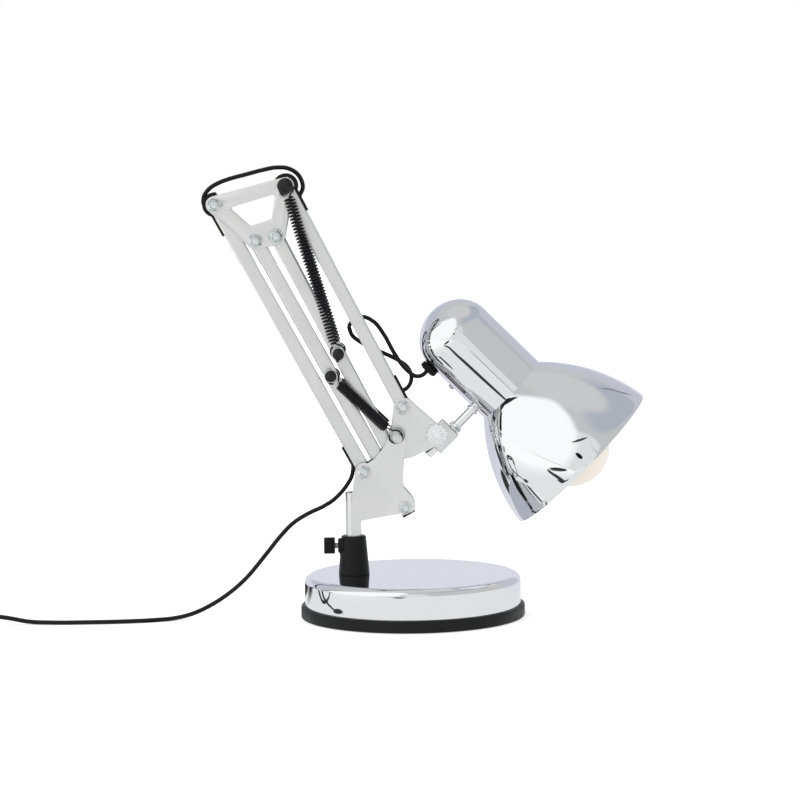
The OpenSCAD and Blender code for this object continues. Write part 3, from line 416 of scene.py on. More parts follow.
# The lead's sheath has a soft sheen, the springs' lacquer is worn a little brighter in patches,
# the unlit bulb carries a painted glow (emission) that brightens its opal glass, and the clear tilt knob carries a
# faint painted glow (emission) besides its transmission
LOOK = {
    "ring_black": moulded_black(0.013, (0.38, 0.52)),
    "drum_chrome": mirror_chrome(),
    "ballast_iron": look((0.1, 0.1, 0.105), (0.06, 0.055, 0.05), (0.6, 0.8), metal=0.6, grain=500,
                         grain_depth=0.4),
    "pad_foam": look((0.03, 0.03, 0.03), (0.018, 0.018, 0.018), (0.85, 0.95), grain=1200, grain_depth=0.6,
                     tone_scale=300),
    "screw_steel": zinc((0.66, 0.66, 0.67), (0.5, 0.5, 0.52)),
    "socket_black": moulded_black(0.009, (0.3, 0.42)),
    "insert_brass": look((0.72, 0.52, 0.22), (0.6, 0.42, 0.17), (0.2, 0.35), metal=1.0, tone_scale=200),
    "knob_black": moulded_black(0.011, (0.34, 0.48)),
    "bracket_plating": bright_plating(0.88),
    "bolt_zinc": zinc(),
    "bar_plating": bright_plating(0.84),
    "bush_black": moulded_black(0.01, (0.3, 0.45)),
    "lead_black": look((0.014, 0.013, 0.013), (0.007, 0.007, 0.007), (0.34, 0.5), grain=900,
                       grain_depth=0.15, tone_scale=90, smudge_scale=120, Specular_IOR_Level=0.2),
    "post_steel": zinc((0.75, 0.75, 0.76), (0.66, 0.66, 0.67)),
    "cap_black": moulded_black(0.009, (0.1, 0.2), gloss=0.35),
    "plate_plating": bright_plating(0.86),
    "spring_black": look((0.02, 0.02, 0.022), (0.006, 0.006, 0.007), (0.18, 0.34), metal=0.2, grain=3000,
                         grain_depth=0.08, tone_scale=260, smudge_scale=240, Specular_IOR_Level=0.25),
    # Painted glow: a faint white emission brightens the clear knob
    "knob_clear": look((0.96, 0.97, 0.98), (0.93, 0.94, 0.96), (0.08, 0.16), tone_scale=80,
                       smudge_scale=120, Transmission_Weight=0.5, IOR=1.46, Emission_Color=(1, 1, 1, 1),
                       Emission_Strength=0.12),
    "knuckle_zinc": zinc((0.78, 0.79, 0.78), (0.68, 0.69, 0.69)),
    "stem_chrome": look((0.84, 0.85, 0.86), (0.8, 0.8, 0.81), (0.06, 0.12), metal=1.0, tone_scale=80,
                        smudge_scale=90),
    "housing_chrome": mirror_chrome(),
    "shade_chrome": mirror_chrome(),
    "holder_black": moulded_black(0.02, (0.3, 0.4)),
    # Painted glow: emission that brightens the unlit bulb's opal glass
    "bulb_frosted": look((0.95, 0.9, 0.82), (0.93, 0.87, 0.78), (0.22, 0.3), tone_scale=10,
                         smudge_scale=30, Emission_Color=(1, 0.93, 0.82, 1), Emission_Strength=0.3,
                         Coat_Weight=0.3, Coat_Roughness=0.12),
    "cap_nickel": look((0.7, 0.66, 0.58), (0.6, 0.56, 0.5), (0.16, 0.3), metal=1.0, tone_scale=120),
    "gland_black": moulded_black(0.012, (0.32, 0.45)),
    "tie_black": moulded_black(0.014, (0.5, 0.62)),
    "switch_black": moulded_black(0.013, (0.3, 0.42)),
    "rocker_black": moulded_black(0.015, (0.18, 0.28)),
    "plug_black": moulded_black(0.013, (0.34, 0.46)),
    "pin_nickel": look((0.78, 0.76, 0.7), (0.7, 0.68, 0.62), (0.1, 0.22), metal=1.0, tone_scale=150),
}

MATERIAL = {name: surface(name, **values) for name, values in LOOK.items()}


def dress(piece, body, slot, *nodes):
    """Gives a finished piece the material of its slot, hides the CAD nodes it stands for, and hangs it on its
    body.
    """
    piece.data.materials.clear()
    piece.data.materials.append(MATERIAL[slot])
    if nodes:
        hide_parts(*nodes)
    if body:
        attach(piece, body)
    return piece


def dress_cad_nodes():
    """Every CAD node gets the material of its slot in the record."""
    for part in frame["record"]["subparts"]:
        for slot in frame["nodes"][part["node"]].material_slots:
            slot.material = MATERIAL[part["material_slot"]]


# ---- camera

def add_camera():
    """The photograph's view: a long lens, a little above, pitched down and rolled."""
    lens_mm, sensor_mm = 129.5, 36.0
    pitch, roll = 0.089, math.radians(-0.75)
    data = bpy.data.cameras.new("camera")
    data.lens, data.sensor_width = lens_mm, sensor_mm
    data.clip_start, data.clip_end = 0.05, 50
    camera = bpy.data.objects.new("camera", data)
    bpy.context.scene.collection.objects.link(camera)
    place = Matrix.Translation(Vector((-7.3, -2000, 330.6)) * MM)
    tilt = Matrix.Rotation(math.pi / 2 - pitch, 4, "X")
    camera.matrix_world = place @ tilt @ Matrix.Rotation(roll, 4, "Z")
    bpy.context.scene.camera = camera


# ---- the lead

LEAD_HALF = (2.5, 1.5)
SHEATH_SIDES = 14


def off_bar(pivot, degrees, side, places):
    """Places told from a pivot: along a bar, outwards from it, and in Y."""
    made = []
    for place in places:
        q = pivot + polar(place[0], degrees) + polar(place[1], degrees + 90 * side)
        made.append((q.x, place[2] if len(place) > 2 else 0, q.z))
    return made


def smooth_path(places, steps=4):
    """Points on a smooth curve through places, with tangents that allow for their spacing."""
    points = [Vector(p) for p in places]
    gaps = [(b - a).length for a, b in zip(points, points[1:])]
    slopes = [(b - a) / gap for a, b, gap in zip(points, points[1:], gaps)]
    tangents = slopes[:1]
    for back, ahead, before, after in zip(slopes, slopes[1:], gaps, gaps[1:]):
        tangents.append((back * after + ahead * before) / (before + after))
    tangents.append(slopes[-1])
    path = []
    for i, gap in enumerate(gaps):
        for k in range(steps):
            t = k / steps
            a = points[i] * (2 * t**3 - 3 * t**2 + 1) + points[i + 1] * (3 * t**2 - 2 * t**3)
            b = tangents[i] * (t**3 - 2 * t**2 + t) + tangents[i + 1] * (t**3 - t**2)
            path.append(a + b * gap)
    path.append(points[-1])
    return path


def directions(path):
    ends = [(path[max(i - 1, 0)], path[min(i + 1, len(path) - 1)]) for i in range(len(path))]
    return [(after - before).normalized() for before, after in ends]


def flat_lead(name, path, wide_near_y=True):
    """A flat oval tube along a path in millimetres; its wide side is near Y, or level."""
    skin, faces = [], []
    sides = SHEATH_SIDES
    for point, ahead in zip(path, directions(path)):
        if wide_near_y:
            wide = ahead.cross(Vector((0, 1, 0))).cross(ahead).normalized()
        else:
            wide = ahead.cross(Vector((0, 0, 1))).normalized()
        thin = wide.cross(ahead)
        for k in range(sides):
            a = math.tau * (k + 0.5) / sides
            reach = (abs(math.cos(a)) ** 4 + abs(math.sin(a)) ** 4) ** -0.1
            across = LEAD_HALF[0] * math.cos(a) * wide + LEAD_HALF[1] * math.sin(a) * thin
            skin.append(point + reach * across)
    for i in range(len(path) - 1):
        for k in range(sides):
            first, second = i * sides + k, i * sides + (k + 1) % sides
            faces.append((first, first + sides, second + sides, second))
    last = (len(path) - 1) * sides
    faces.append(tuple(range(sides)))
    faces.append(tuple(last + k for k in reversed(range(sides))))
    mesh = bpy.data.meshes.new(name)
    mesh.from_pydata([c * MM for c in skin], [], faces)
    piece = bpy.data.objects.new(name, mesh)
    bpy.context.scene.collection.objects.link(piece)
    edit(piece)
    bpy.ops.mesh.normals_make_consistent(inside=False)
    done()
    return smooth(piece, 50)


LOWER_DIR = slope_of(G, A)
UPPER_DIR = slope_of(E, B)
HEAD_SLOPE = -45
GLAND_AT = -35.5
GLAND_FACE = 26.2
TAIL_END = Vector((-300, -18, 6.5))
SWITCH_LEN = 60
COIL_MIDDLE = Vector((-400, 22.425, 2.15))
COIL_INNER_R = 19.8
COIL_PITCH = 5.5
COIL_TURNS = 3.75
COIL_LAYER = 3.5


def head_point(along, up):
    return tuple(K + polar(along, HEAD_SLOPE) + polar(up, 90 + HEAD_SLOPE))


def near(pivot, places):
    """Places told from a pivot, in X, Y and Z."""
    return [tuple(pivot + Vector(place)) for place in places]


HEAD_LOOP_OUT = [head_point(GLAND_AT, GLAND_FACE), head_point(GLAND_AT, GLAND_FACE - 3)] + near(E, [
    (10.3, 2, 20.9), (2.3, 6.6, 25.8), (-5.7, 9.2, 37), (-12.7, 10, 50), (-19.7, 10.4, 59),
    (-26.7, 10.4, 62.5), (-33.2, 10.4, 61.5), (-37.2, 10.6, 56),
])
HEAD_LOOP_BACK = near(E, [
    (-37.2, 10.6, 56), (-35.2, 11, 50), (-28.7, 12, 44.5), (-20.7, 13, 40), (-11.7, 13.8, 36),
    (-3.7, 13.4, 32), (3.3, 11.8, 27), (6.2, 7.8, 20.5),
]) + off_bar(E, UPPER_DIR, -1, [(10.5, 10, 3.4), (10, 6, 1), (12, 2.5), (16, 0.3), (21, 0), (24, 0)])
ELBOW_LOOP_RIGHT = off_bar(B, UPPER_DIR - 180, 1, [
    (24, 0), (21, 0), (16.5, 1.2), (12.5, 3.6), (9.8, 6.2),
]) + near(B, [(11.7, 0, -2.3), (10.9, 0, 3.7), (7.5, 0, 8.7), (1.5, 0, 12), (-7, 0, 12.6), (-17.5, 0, 10.7)])
ELBOW_LOOP_LEFT = near(B, [(-17.5, 0, 10.7)]) + near(A, [
    (21.4, 0, 20.5), (11.4, 0, 18), (2.9, 0, 15), (-3.4, 0, 11.3), (-7.2, 0, 6.4),
    (-7.9, 0, 1.2), (-5.6, 0, -3.1), (-2.2, 0, -6.8),
]) + off_bar(A, LOWER_DIR - 180, -1, [(9.2, 2.8), (14, 0.9), (21, 0), (24, 0)])
TAIL_TOP = off_bar(G, LOWER_DIR, 1, [(24, 0), (21, 0), (15, 1.1), (10, 3.5), (5, 6.3)]) + near(G, [
    (-9, 0, -3.8), (-12.2, 0, -9.6), (-17, 0, -15.6), (-22.7, 0, -20.8), (-30.2, 0, -25.3),
])
TAIL_REST = near(G, [(-30.2, 0, -25.3), (-40.2, 0, -29.8)]) + [
    (-83, 0, 66.8), (-92, 0, 57.8), (-101, 0, 46.8), (-108, 0, 38.2),
    (-115, 0, 30), (-126.5, 0, 19.5), (-140, -1, 10.5), (-155, -4.5, 4), (-168, -9.5, 1.8),
    (-180, -14, 1.6), (-200, -18.5, 1.6), (-225, -20, 1.6), (-250, -19.5, 1.6), (-268, -18.6, 2.4),
    (-282, -18.1, 5), (-294, -18, 6.5), tuple(TAIL_END),
]


def coil_point(turn):
    """The coil spirals in on the table, climbs where it turns round, and spirals out on top."""
    radius = COIL_INNER_R + COIL_PITCH * abs(turn)
    rise = min(1, max(0, turn * 2 + 0.5))
    angle = -math.tau * turn
    return COIL_MIDDLE + Vector((radius * math.cos(angle), radius * math.sin(angle),
                                 COIL_LAYER * rise * rise * (3 - 2 * rise)))


def coil_path(rings_per_turn=36):
    start = TAIL_END.x - SWITCH_LEN
    count = round(COIL_TURNS * rings_per_turn)
    turns = [coil_point(i / rings_per_turn) for i in range(-count, count + 1)]
    into = smooth_path([(start, -18, 6.5), (start - 6, -18, 6.5), (start - 18, -18, 4.4),
                        (start - 30, -18, 2.4), turns[0]])
    out = smooth_path([turns[-1], (-388, 62.85, 5.85), (-374, 62.85, 6.45), (-361.575, 62.85, 6.85),
                       (-355.575, 62.85, 6.85)])
    return into[:-1] + turns + out[1:]


def make_lead():
    """The lead's free loops, held at both ends, and the free tail with its coil."""
    runs = [
        ("lead_head_loop_out", HEAD_LOOP_OUT, "lead_head_loop", "head", "head_bracket",
         (10, 0, 170), (-24, 0, 196)),
        ("lead_head_loop_back", HEAD_LOOP_BACK, "lead_head_loop", "head_bracket", "upper_top_arm",
         (-42, 0, 204), (-16, 0, 169)),
        ("lead_elbow_loop_right", ELBOW_LOOP_RIGHT, "lead_elbow_loop", "upper_top_arm", "elbow",
         (-76, 0, 303), (-102, 0, 313)),
        ("lead_elbow_loop_left", ELBOW_LOOP_LEFT, "lead_elbow_loop", "elbow", "lower_rear_arm",
         (-102, 0, 313), (-137, 0, 300)),
        ("lead_tail_top", TAIL_TOP, "lead_tail", "lower_rear_arm", "swivel_bracket",
         (-42, 0, 107), (-58, 0, 80)),
        ("lead_tail_rest", TAIL_REST, "lead_tail", "swivel_bracket", "base",
         (-63, 0, 77.5), (-140, 0, 10.5)),
    ]
    made = []
    for name, places, node, first, second, start, end in runs:
        path = smooth_path(places, 5)
        piece = dress(flat_lead(name, path), None, "lead_black", node)
        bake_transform(piece)
        made.append((piece, path))
    coil = flat_lead("lead_coil_turns", coil_path(), wide_near_y=False)
    dress(coil, "base", "lead_black", "lead_coil")
    return made[-2], made[-1], (coil, coil_path())


# ---- base

DRUM_EDGE = 5
DRUM_SHEET = 0.8
FLOOR_TOP = 4
RING_R, RING_H = corners("base_ring")[1].yz
DRUM_R, DRUM_H = corners("base_shell")[1].yz
PAD_R = corners("base_pad")[1].y
SOCKET_TOP = corners("socket")[1].z
SPIGOT_R = 5.5
TUBE_TOP = SOCKET_TOP + 30.6
THUMB_Z = SOCKET_TOP - 7


def make_base():
    """Moulded foot ring whose floor closes the drum, and the deep-drawn chrome drum."""
    lip = 1.2
    outline = [(0, 1), (PAD_R + 0.3, 1), (PAD_R + 0.3, 0.4)]
    outline += arc((RING_R - lip, 0.4 + lip), lip, -90, 0, 5)
    outline += arc((RING_R - lip, RING_H - lip), lip, 0, 90, 5)
    outline += [(DRUM_R + 0.1, RING_H), (DRUM_R + 0.1, FLOOR_TOP), (0, FLOOR_TOP)]
    dress(settle(turned("foot_ring", outline, 160)), "base", "ring_black", "base_ring")
    centre = (DRUM_R - DRUM_EDGE, DRUM_H - DRUM_EDGE)
    outline = [(DRUM_R, FLOOR_TOP)] + arc(centre, DRUM_EDGE, 0, 90, 14)
    outline += [(DRUM_R - 7, DRUM_H), (40, DRUM_H), (0, DRUM_H), (0, DRUM_H - DRUM_SHEET)]
    outline += arc(centre, DRUM_EDGE - DRUM_SHEET, 90, 0, 8)
    outline += [(DRUM_R - DRUM_SHEET, FLOOR_TOP), (DRUM_R, FLOOR_TOP)]
    dress(settle(turned("base_drum", outline, 192, 30)), "base", "drum_chrome", "base_shell")


def make_socket():
    """Tapered black socket with a bore for the spigot and a lobe for the thumbscrew."""
    foot_r, top_r, bore_r = 10.85, 8.5, SPIGOT_R + 0.15
    height = SOCKET_TOP - DRUM_H
    outline = [(0, 0), (foot_r - 0.4, 0), (foot_r, 0.5), (top_r + 0.25, height - 2.2),
               (top_r + 0.1, height - 0.7), (top_r - 0.5, height), (SPIGOT_R + 0.7, height),
               (bore_r, height - 0.6), (bore_r, height - 20.3), (0, height - 20.3)]
    body = lathe("socket_body", outline, 64)
    lobe = block("lobe", (-6.5, 0, height - 13), (9, 9.6, 21))
    for vertex in lobe.data.vertices:
        if vertex.co.z < height - 13:
            vertex.co.x += 2.2
            vertex.co.y *= 0.75
    soften(lobe, 2.6, 5)
    cut(lobe, fresh("bore", CYLINDER, radius=bore_r, depth=80, vertices=48))
    boss = lathe("boss", [(0, 0), (4.7, 0), (5.2, 0.5), (5.2, 6), (0, 6)], 40)
    boss.matrix_world = Matrix.Translation((-11, 0, height - 7)) @ Matrix.Rotation(math.pi / 2, 4, "Y")
    piece = smooth(in_place(joined("socket_with_lobe", body, lobe, boss)), 40)
    dress(settle(piece, (SWIVEL.x, 0, DRUM_H)), "base", "socket_black", "socket")


def make_thumbscrew():
    """Ribbed black knob on a threaded shank."""
    low, high = corners("thumb_knob")
    radius, rib_depth = (high.z - low.z) / 2, 0.55
    steps = [(-5.2, radius - rib_depth), (-3.4, radius), (3.4, radius), (5.2, radius - rib_depth)]
    knob = slab("thumb_knob_ribbed", ribs(22, steps), 0, high.x - low.x)
    soften(knob, 0.35, 2, 50)
    settle(smooth(knob, 40), (high.x, 0, THUMB_Z), along=(0, 1, 0))
    dress(knob, "thumb_screw", "knob_black", "thumb_knob")
    pitch, shank_r = 0.8, 2.0
    low, high = corners("thumb_shank")
    reach = high.x - low.x
    turns = int(reach / pitch)
    outline = [(0, 0)]
    for i in range(turns):
        outline += [(shank_r - 0.35, pitch * i + 0.1), (shank_r, pitch * (i + 0.5))]
    outline += [(shank_r - 0.5, pitch * turns), (0, reach)]
    shank = turned("thumb_shank_threaded", outline, 24, 50)
    settle(shank, (low.x, 0, THUMB_Z), along=(0, 1, 0), up=(1, 0, 0))
    dress(shank, "thumb_screw", "bolt_zinc", "thumb_shank")


# ---- fasteners

HEX_CORNER = 0.5 / math.cos(math.pi / 6)


def hexagon(name, flat, height, crown):
    """A hexagonal prism on Z, its corners turned off by a crown of (radius, height) points."""
    piece = fresh(name, CYLINDER, vertices=6, radius=flat * HEX_CORNER, depth=height,
                  location=(0, 0, height / 2))
    cut(in_place(piece), lathe("crown", crown, 48), operation="INTERSECT")
    soften(piece, 0.12, 2, 25)
    return piece


def hex_nut(name, flat, height, collar=False):
    """A nut on Z with chamfered corners, and perhaps a nylon collar and the bolt's rounded tip."""
    corner = flat * HEX_CORNER + 0.1
    parts = [hexagon(name, flat, height, [
        (0, -0.1), (flat / 2 + 0.1, -0.1), (corner, 0.45), (corner, height - 0.8),
        (flat / 2 - 0.1, height + 0.1), (0, height + 0.1)])]
    if collar:
        outline = [(0, height - 0.5), (flat / 2 - 0.5, height - 0.5)]
        outline += arc((flat / 2 - 1.2, height + 0.3), 0.7, 0, 90, 4)
        outline += [(BOLT_R + 0.3, height + 1.0), (BOLT_R + 0.1, height + 0.4), (0, height + 0.4)]
        tip = [(BOLT_R, height - 1), (BOLT_R, height + 0.55)]
        tip += arc((BOLT_R - 0.5, height + 0.55), 0.45, 0, 90, 3) + [(0, height + 1.0)]
        parts += [lathe("collar", outline, 40), lathe("tip", tip, 32)]
    return smooth(joined(name, *parts), 30)


def bolt_head(name, flat, height):
    """A hexagon head on Z with a domed face."""
    corner = flat * HEX_CORNER + 0.1
    crown = [(0, -0.1), (corner, -0.1), (corner, height - 0.9), (flat / 2 - 0.2, height), (0, height)]
    return smooth(hexagon(name, flat, height, crown), 30)


def washer(name, radius, thick, bore):
    outline = [(bore, 0), (radius - 0.2, 0), (radius, 0.2), (radius, thick - 0.25), (radius - 0.25, thick),
               (bore + 0.15, thick), (bore, thick - 0.15), (bore, 0)]
    return turned(name, outline, 48, 30)


FRONT, REAR = Vector((0, -1, 0)), Vector((0, 1, 0))


def cross_bolt(letter, pivot, y, washer_t, body, turn, node):
    """Bolt across the arms at a pivot: nut at the front, head at the rear, its shank between."""
    name = "pivot_bolt_" + letter
    nut, head = hex_nut(name + "_nut", 8, 4, True), bolt_head(name + "_head", 8, 3.2)
    settle(nut, pivot + FRONT * (y + washer_t), along=polar(1, turn), up=FRONT)
    settle(head, pivot + REAR * y, along=polar(1, turn), up=REAR)
    low = -y - washer_t - 1
    shank = turned(name + "_shank", [(0, low), (BOLT_R, low), (BOLT_R, y + 1), (0, y + 1)], 32)
    parts = [nut, head, settle(shank, pivot, up=REAR)]
    if washer_t:
        ring = washer(name + "_washer", 5, washer_t, BOLT_R)
        parts.append(settle(ring, pivot + FRONT * y, up=FRONT))
    dress(joined(name, *parts), body, "bolt_zinc", node)


def make_bolts():
    """The pivot bolts, the flush rivet that turns inside the lower bracket, and the clamp bolt."""
    for letter, pivot, turn in (("g", G, 12), ("h", H, 48)):
        cross_bolt(letter, pivot, BRACKET_OUT, 0, "swivel_bracket", turn, "lower_pivot_bolts")
    for letter, pivot, turn in (("a", A, 20), ("c", C, 52), ("d", D, 38)):
        cross_bolt(letter, pivot, PLATE_OUT, 1, "elbow", turn, "elbow_bolts")
    cross_bolt("e", E, PLATE_OUT, 1, "head_bracket", 30, "head_bracket_bolts")
    flush = BRACKET_IN - 0.3
    edge = flush - 0.25
    outline = [(0, -flush), (3.7, -flush), (4, -edge), (4, -PLATE_OUT), (BOLT_R, -PLATE_OUT),
               (BOLT_R, PLATE_OUT), (4, PLATE_OUT), (4, edge), (3.7, flush), (0, flush)]
    rivet = settle(turned("flush_rivet", outline, 40, 30), I, up=REAR)
    dress(rivet, "head_bracket", "bolt_zinc", "head_bracket_bolts")
    outline = [(0, -10.5), (1.6, -10.5), (2, -10.1), (2, PLATE_OUT), (4, PLATE_OUT), (4, PLATE_OUT + 0.8)]
    outline += arc((0, PLATE_OUT - 1.4), 4.0, 32, 90, 6)
    clamp = settle(turned("clamp_bolt", outline, 40), K, up=REAR)
    dress(clamp, "head_bracket", "bolt_zinc", "head_bracket_bolts")


# ---- lower bracket

def bracket_outline():
    """Outline of a bracket plate as (x, z), told from its pivots."""

    def near_pivot(place, *steps):
        return [(place.x + x, place.z + z) for x, z in steps]

    ear = arc((STUD.x, STUD.z + 1.8), 6.4, 0, 180, 14)
    shoulder = near_pivot(STUD, (-7.4, -2.4), (-9.6, -6.6), (-12.8, -10.6))
    neck = near_pivot(G, (7.6, 9.6), (4.4, 7.2))
    knee = arc((G.x, G.z), 6.4, 70, 180, 8)
    skirt = [(SWIVEL.x + 1.0, G.z - 5), (SWIVEL.x, G.z - 11), (SWIVEL.x - 1.5, TUBE_TOP - 12),
             (SWIVEL.x - 1.0, TUBE_TOP - 26), (SWIVEL.x + SPIGOT_R - 0.4, TUBE_TOP - 26),
             (G.x - 2.9, G.z - 34.3)]
    toe = near_pivot(H, (-1, -4.1), (5, -3.4), (7.2, -1.4), (7.3, 2.6), (5, 7.2), (-0.4, 13.4), (-1.1, 18),
                     (0.2, 34))
    return ear + shoulder + neck + knee + skirt + toe


def ease(value):
    value = min(1, max(0, value))
    return value * value * (3 - 2 * value)


def press(x, z):
    """How far the sheet is pressed in: a panel below the crease from G to H, and round the studs."""
    along = (H - G).normalized()
    below = (Vector((x, 0, z)) - G).dot(Vector((along.z, 0, -along.x)))
    crease = ease((below - 1.5) / 3.5)
    fade = ease((z - (G.z - 27)) / 9) * ease((H.x - 4 - x) / 8)
    dish = 1 - ease((math.hypot(x - STUD.x, z - STUD.z - 1.8) - 3.6) / 2.2)
    return 0.95 * crease * fade, 0.55 * dish


def bracket_plate(name):
    """One pressed plate, its outer face at y = 0 and its thickness towards +Y."""
    outline = bracket_outline()
    xs, zs = [p[0] for p in outline], [p[1] for p in outline]
    size = max(max(xs) - min(xs), max(zs) - min(zs)) + 4
    centre = ((max(xs) + min(xs)) / 2, 0, (max(zs) + min(zs)) / 2)
    sheet = fresh(name, bpy.ops.mesh.primitive_grid_add, x_subdivisions=90, y_subdivisions=90, size=size,
                  location=centre, rotation=LYING)
    edit(in_place(sheet))
    bpy.ops.mesh.extrude_region_move(TRANSFORM_OT_translate={"value": (0, BRACKET_OUT - BRACKET_IN, 0)})
    tidy_faces()
    done()
    cut(sheet, slab("outline", outline, -1, 4), operation="INTERSECT")
    drilled(sheet, BOLT_HOLE_R, G, H, vertices=32, depth=10)
    for vertex in sheet.data.vertices:
        panel, dish = press(vertex.co.x, vertex.co.z)
        vertex.co.y += panel + dish
    return sheet


def make_lower_bracket():
    """U bracket of two pressed plates on a chrome spigot tube, joined by flared flanges."""
    front = bracket_plate("bracket_front")
    rear = copy_of(front, "bracket_rear")
    for plate, flip in ((front, 1), (rear, -1)):
        for vertex in plate.data.vertices:
            vertex.co.y = flip * (vertex.co.y - BRACKET_OUT)
    edit(rear)
    bpy.ops.mesh.flip_normals()
    done()
    low, top = SOCKET_TOP - 20, TUBE_TOP
    inner, lip = SPIGOT_R - 1.2, SPIGOT_R - 0.4
    tube = lathe("tube", [(inner, low), (lip, low), (SPIGOT_R, low + 0.4), (SPIGOT_R, top - 0.4), (lip, top),
                          (inner, top), (inner, low)], 64)
    tube.matrix_world = Matrix.Translation((SWIVEL.x, 0, 0))
    parts = [front, rear, in_place(tube)]
    for side in (-1, 1):
        # Seen from above, the flange runs from the tube's flank out to the plate in a soft S
        inner, outer = SPIGOT_R - 0.6, BRACKET_OUT - 0.3
        run = [(SWIVEL.x - 0.2 + 1.4 * math.cos(math.pi * i / 8), inner + (outer - inner) * i / 8)
               for i in range(9)]
        strip = line_through("flange", [(x, side * y, SOCKET_TOP + 4.5) for x, y in run])
        bpy.ops.mesh.select_all(action="SELECT")
        bpy.ops.mesh.extrude_region_move(TRANSFORM_OT_translate={"value": (0, 0, top - SOCKET_TOP - 6)})
        tidy_faces()
        done()
        apply_modifier(strip, "SOLIDIFY", thickness=1.2, offset=0)
        soften(strip, 0.3, 2, 40)
        parts.append(strip)
    piece = settle(smooth(joined("bracket_with_spigot", *parts), 32))
    dress(piece, "swivel_bracket", "bracket_plating", "lower_bracket")


def make_studs():
    """Shouldered studs that hold the short springs' hooks."""
    tip, wide = SHORT_SPRING_Y + 3.4, STUD_R + 1.2
    outline = [(0, BRACKET_IN), (STUD_R, BRACKET_IN), (STUD_R, BRACKET_OUT - 0.6), (wide, BRACKET_OUT - 0.6),
               (wide, BRACKET_OUT + 0.6), (STUD_R, BRACKET_OUT + 0.8), (STUD_R, tip - 1.4),
               (STUD_R + 1.0, tip - 1.4), (wide, tip - 1.1)]
    outline += arc((STUD_R + 0.6, tip - 0.6), 0.6, 0, 90, 4) + [(0, tip)]
    pair = front_and_rear("hook_studs", turned("stud", outline, 40), Vector((STUD.x, 0, STUD.z)))
    dress(pair, "swivel_bracket", "post_steel", "spring_studs")


# ---- arm bars

def channel(name, start, end, side, holes):
    """A folded channel between two pivots, open towards side, with its pivot holes."""
    fold, t = 1.4, SHEET
    w, d = BAR_WIDTH / 2, BAR_DEPTH / 2
    left, right = (-d + fold, -w + fold), (d - fold, -w + fold)
    outline = [(-d, w)] + arc(left, fold, 180, 270, 5) + arc(right, fold, 270, 360, 5)
    outline += [(d, w), (d - t, w)] + arc(right, fold - t, 360, 270, 3)
    outline += arc(left, fold - t, 270, 180, 3) + [(-d + t, w)]
    # Modelled on Y so that slab gives its length, then laid along X
    bar = slab(name, outline, -BAR_END, (end - start).length + BAR_END)
    soften(bar, 0.15, 2, 60)
    for at, radius in holes:
        cut(bar, fresh("hole", CYLINDER, vertices=32, radius=radius, depth=20, location=(0, at, 0),
                       rotation=(0, math.pi / 2, 0)))
    ahead = (end - start).normalized()
    lift = ahead.cross(FRONT) * side
    return settle(smooth(bar, 30), start, along=ahead.cross(lift), up=lift)


def make_bars():
    post_at = (SHORT_POST - H).dot((C - H).normalized())
    long_at = (LONG_POST - I).dot((D - I).normalized())
    bars = [
        ("lower_rear_channel", G, A, 1, [], "lower_rear_arm", "lower_rear_bar"),
        ("lower_front_channel", H, C, 1, [(post_at, POST_HOLE_R)], "lower_front_arm", "lower_front_bar"),
        ("upper_under_channel", I, D, -1, [(long_at, POST_HOLE_R)], "upper_under_arm", "upper_under_bar"),
        ("upper_top_channel", E, B, -1, [], "upper_top_arm", "upper_top_bar"),
    ]
    for name, start, end, side, extra, body, node in bars:
        holes = [(0, BOLT_HOLE_R), ((end - start).length, BOLT_HOLE_R)] + extra
        dress(channel(name, start, end, side, holes), body, "bar_plating", node)


# ---- posts and caps

def post_cap(name, y, cap_r, nib):
    """Domed glossy cap on Z with a rounded skirt; a nib of the moulding may show at its side."""
    low = y + WIRE / 2 + 0.6
    outline = [(POST_R, low), (cap_r - 0.5, low), (cap_r, low + 0.5), (cap_r, low + 1.2)]
    outline += arc((cap_r - 1.6, low + 1.2), 1.6, 8, 62, 5) + [(1.6, low + 3.45), (0, low + 3.6)]
    cap = lathe(name, outline, 48)
    if nib:
        moulding = block("nib", (-cap_r - 0.3, 0, low + 1.2), (2, 2.2, 1.8))
        soften(moulding, 0.4, 3)
        cap = joined(name, cap, moulding)
    return smooth(cap, 40)


def make_posts():
    """Spring posts with a cap at each end, and washers under the two small pairs of caps."""
    for word, place, y, cap_r, body, nib in (
            ("elbow", B, LONG_SPRING_Y, 5.5, "elbow", False),
            ("upper", LONG_POST, LONG_SPRING_Y, 4.1, "upper_under_arm", True),
            ("lower", SHORT_POST, SHORT_SPRING_Y, 4.1, "lower_front_arm", False)):
        at = Vector((place.x, 0, place.z))
        tip = y + 3
        outline = [(0, -tip), (POST_R - 0.3, -tip), (POST_R, -tip + 0.3), (POST_R, tip - 0.3),
                   (POST_R - 0.3, tip), (0, tip)]
        post = settle(turned(word + "_post", outline, 32), at, up=REAR)
        dress(post, body, "post_steel", word + "_spring_post")
        caps = front_and_rear(word + "_caps", post_cap(word + "_cap", y, cap_r, nib), at, along=(0.12, 0, 1))
        dress(caps, body, "cap_black", word + "_post_caps")
        if word != "elbow":
            ring = washer(word + "_washer", 4.7, 0.4, POST_R)
            rings = front_and_rear(word + "_washers", ring, at, y + WIRE / 2 + 0.15)
            dress(rings, body, "post_steel")


# ---- plates

def finish_plate(plate, body, node):
    soften(plate, 0.22, 2, 60)
    dress(settle(smooth(plate, 30)), body, "plate_plating", node)


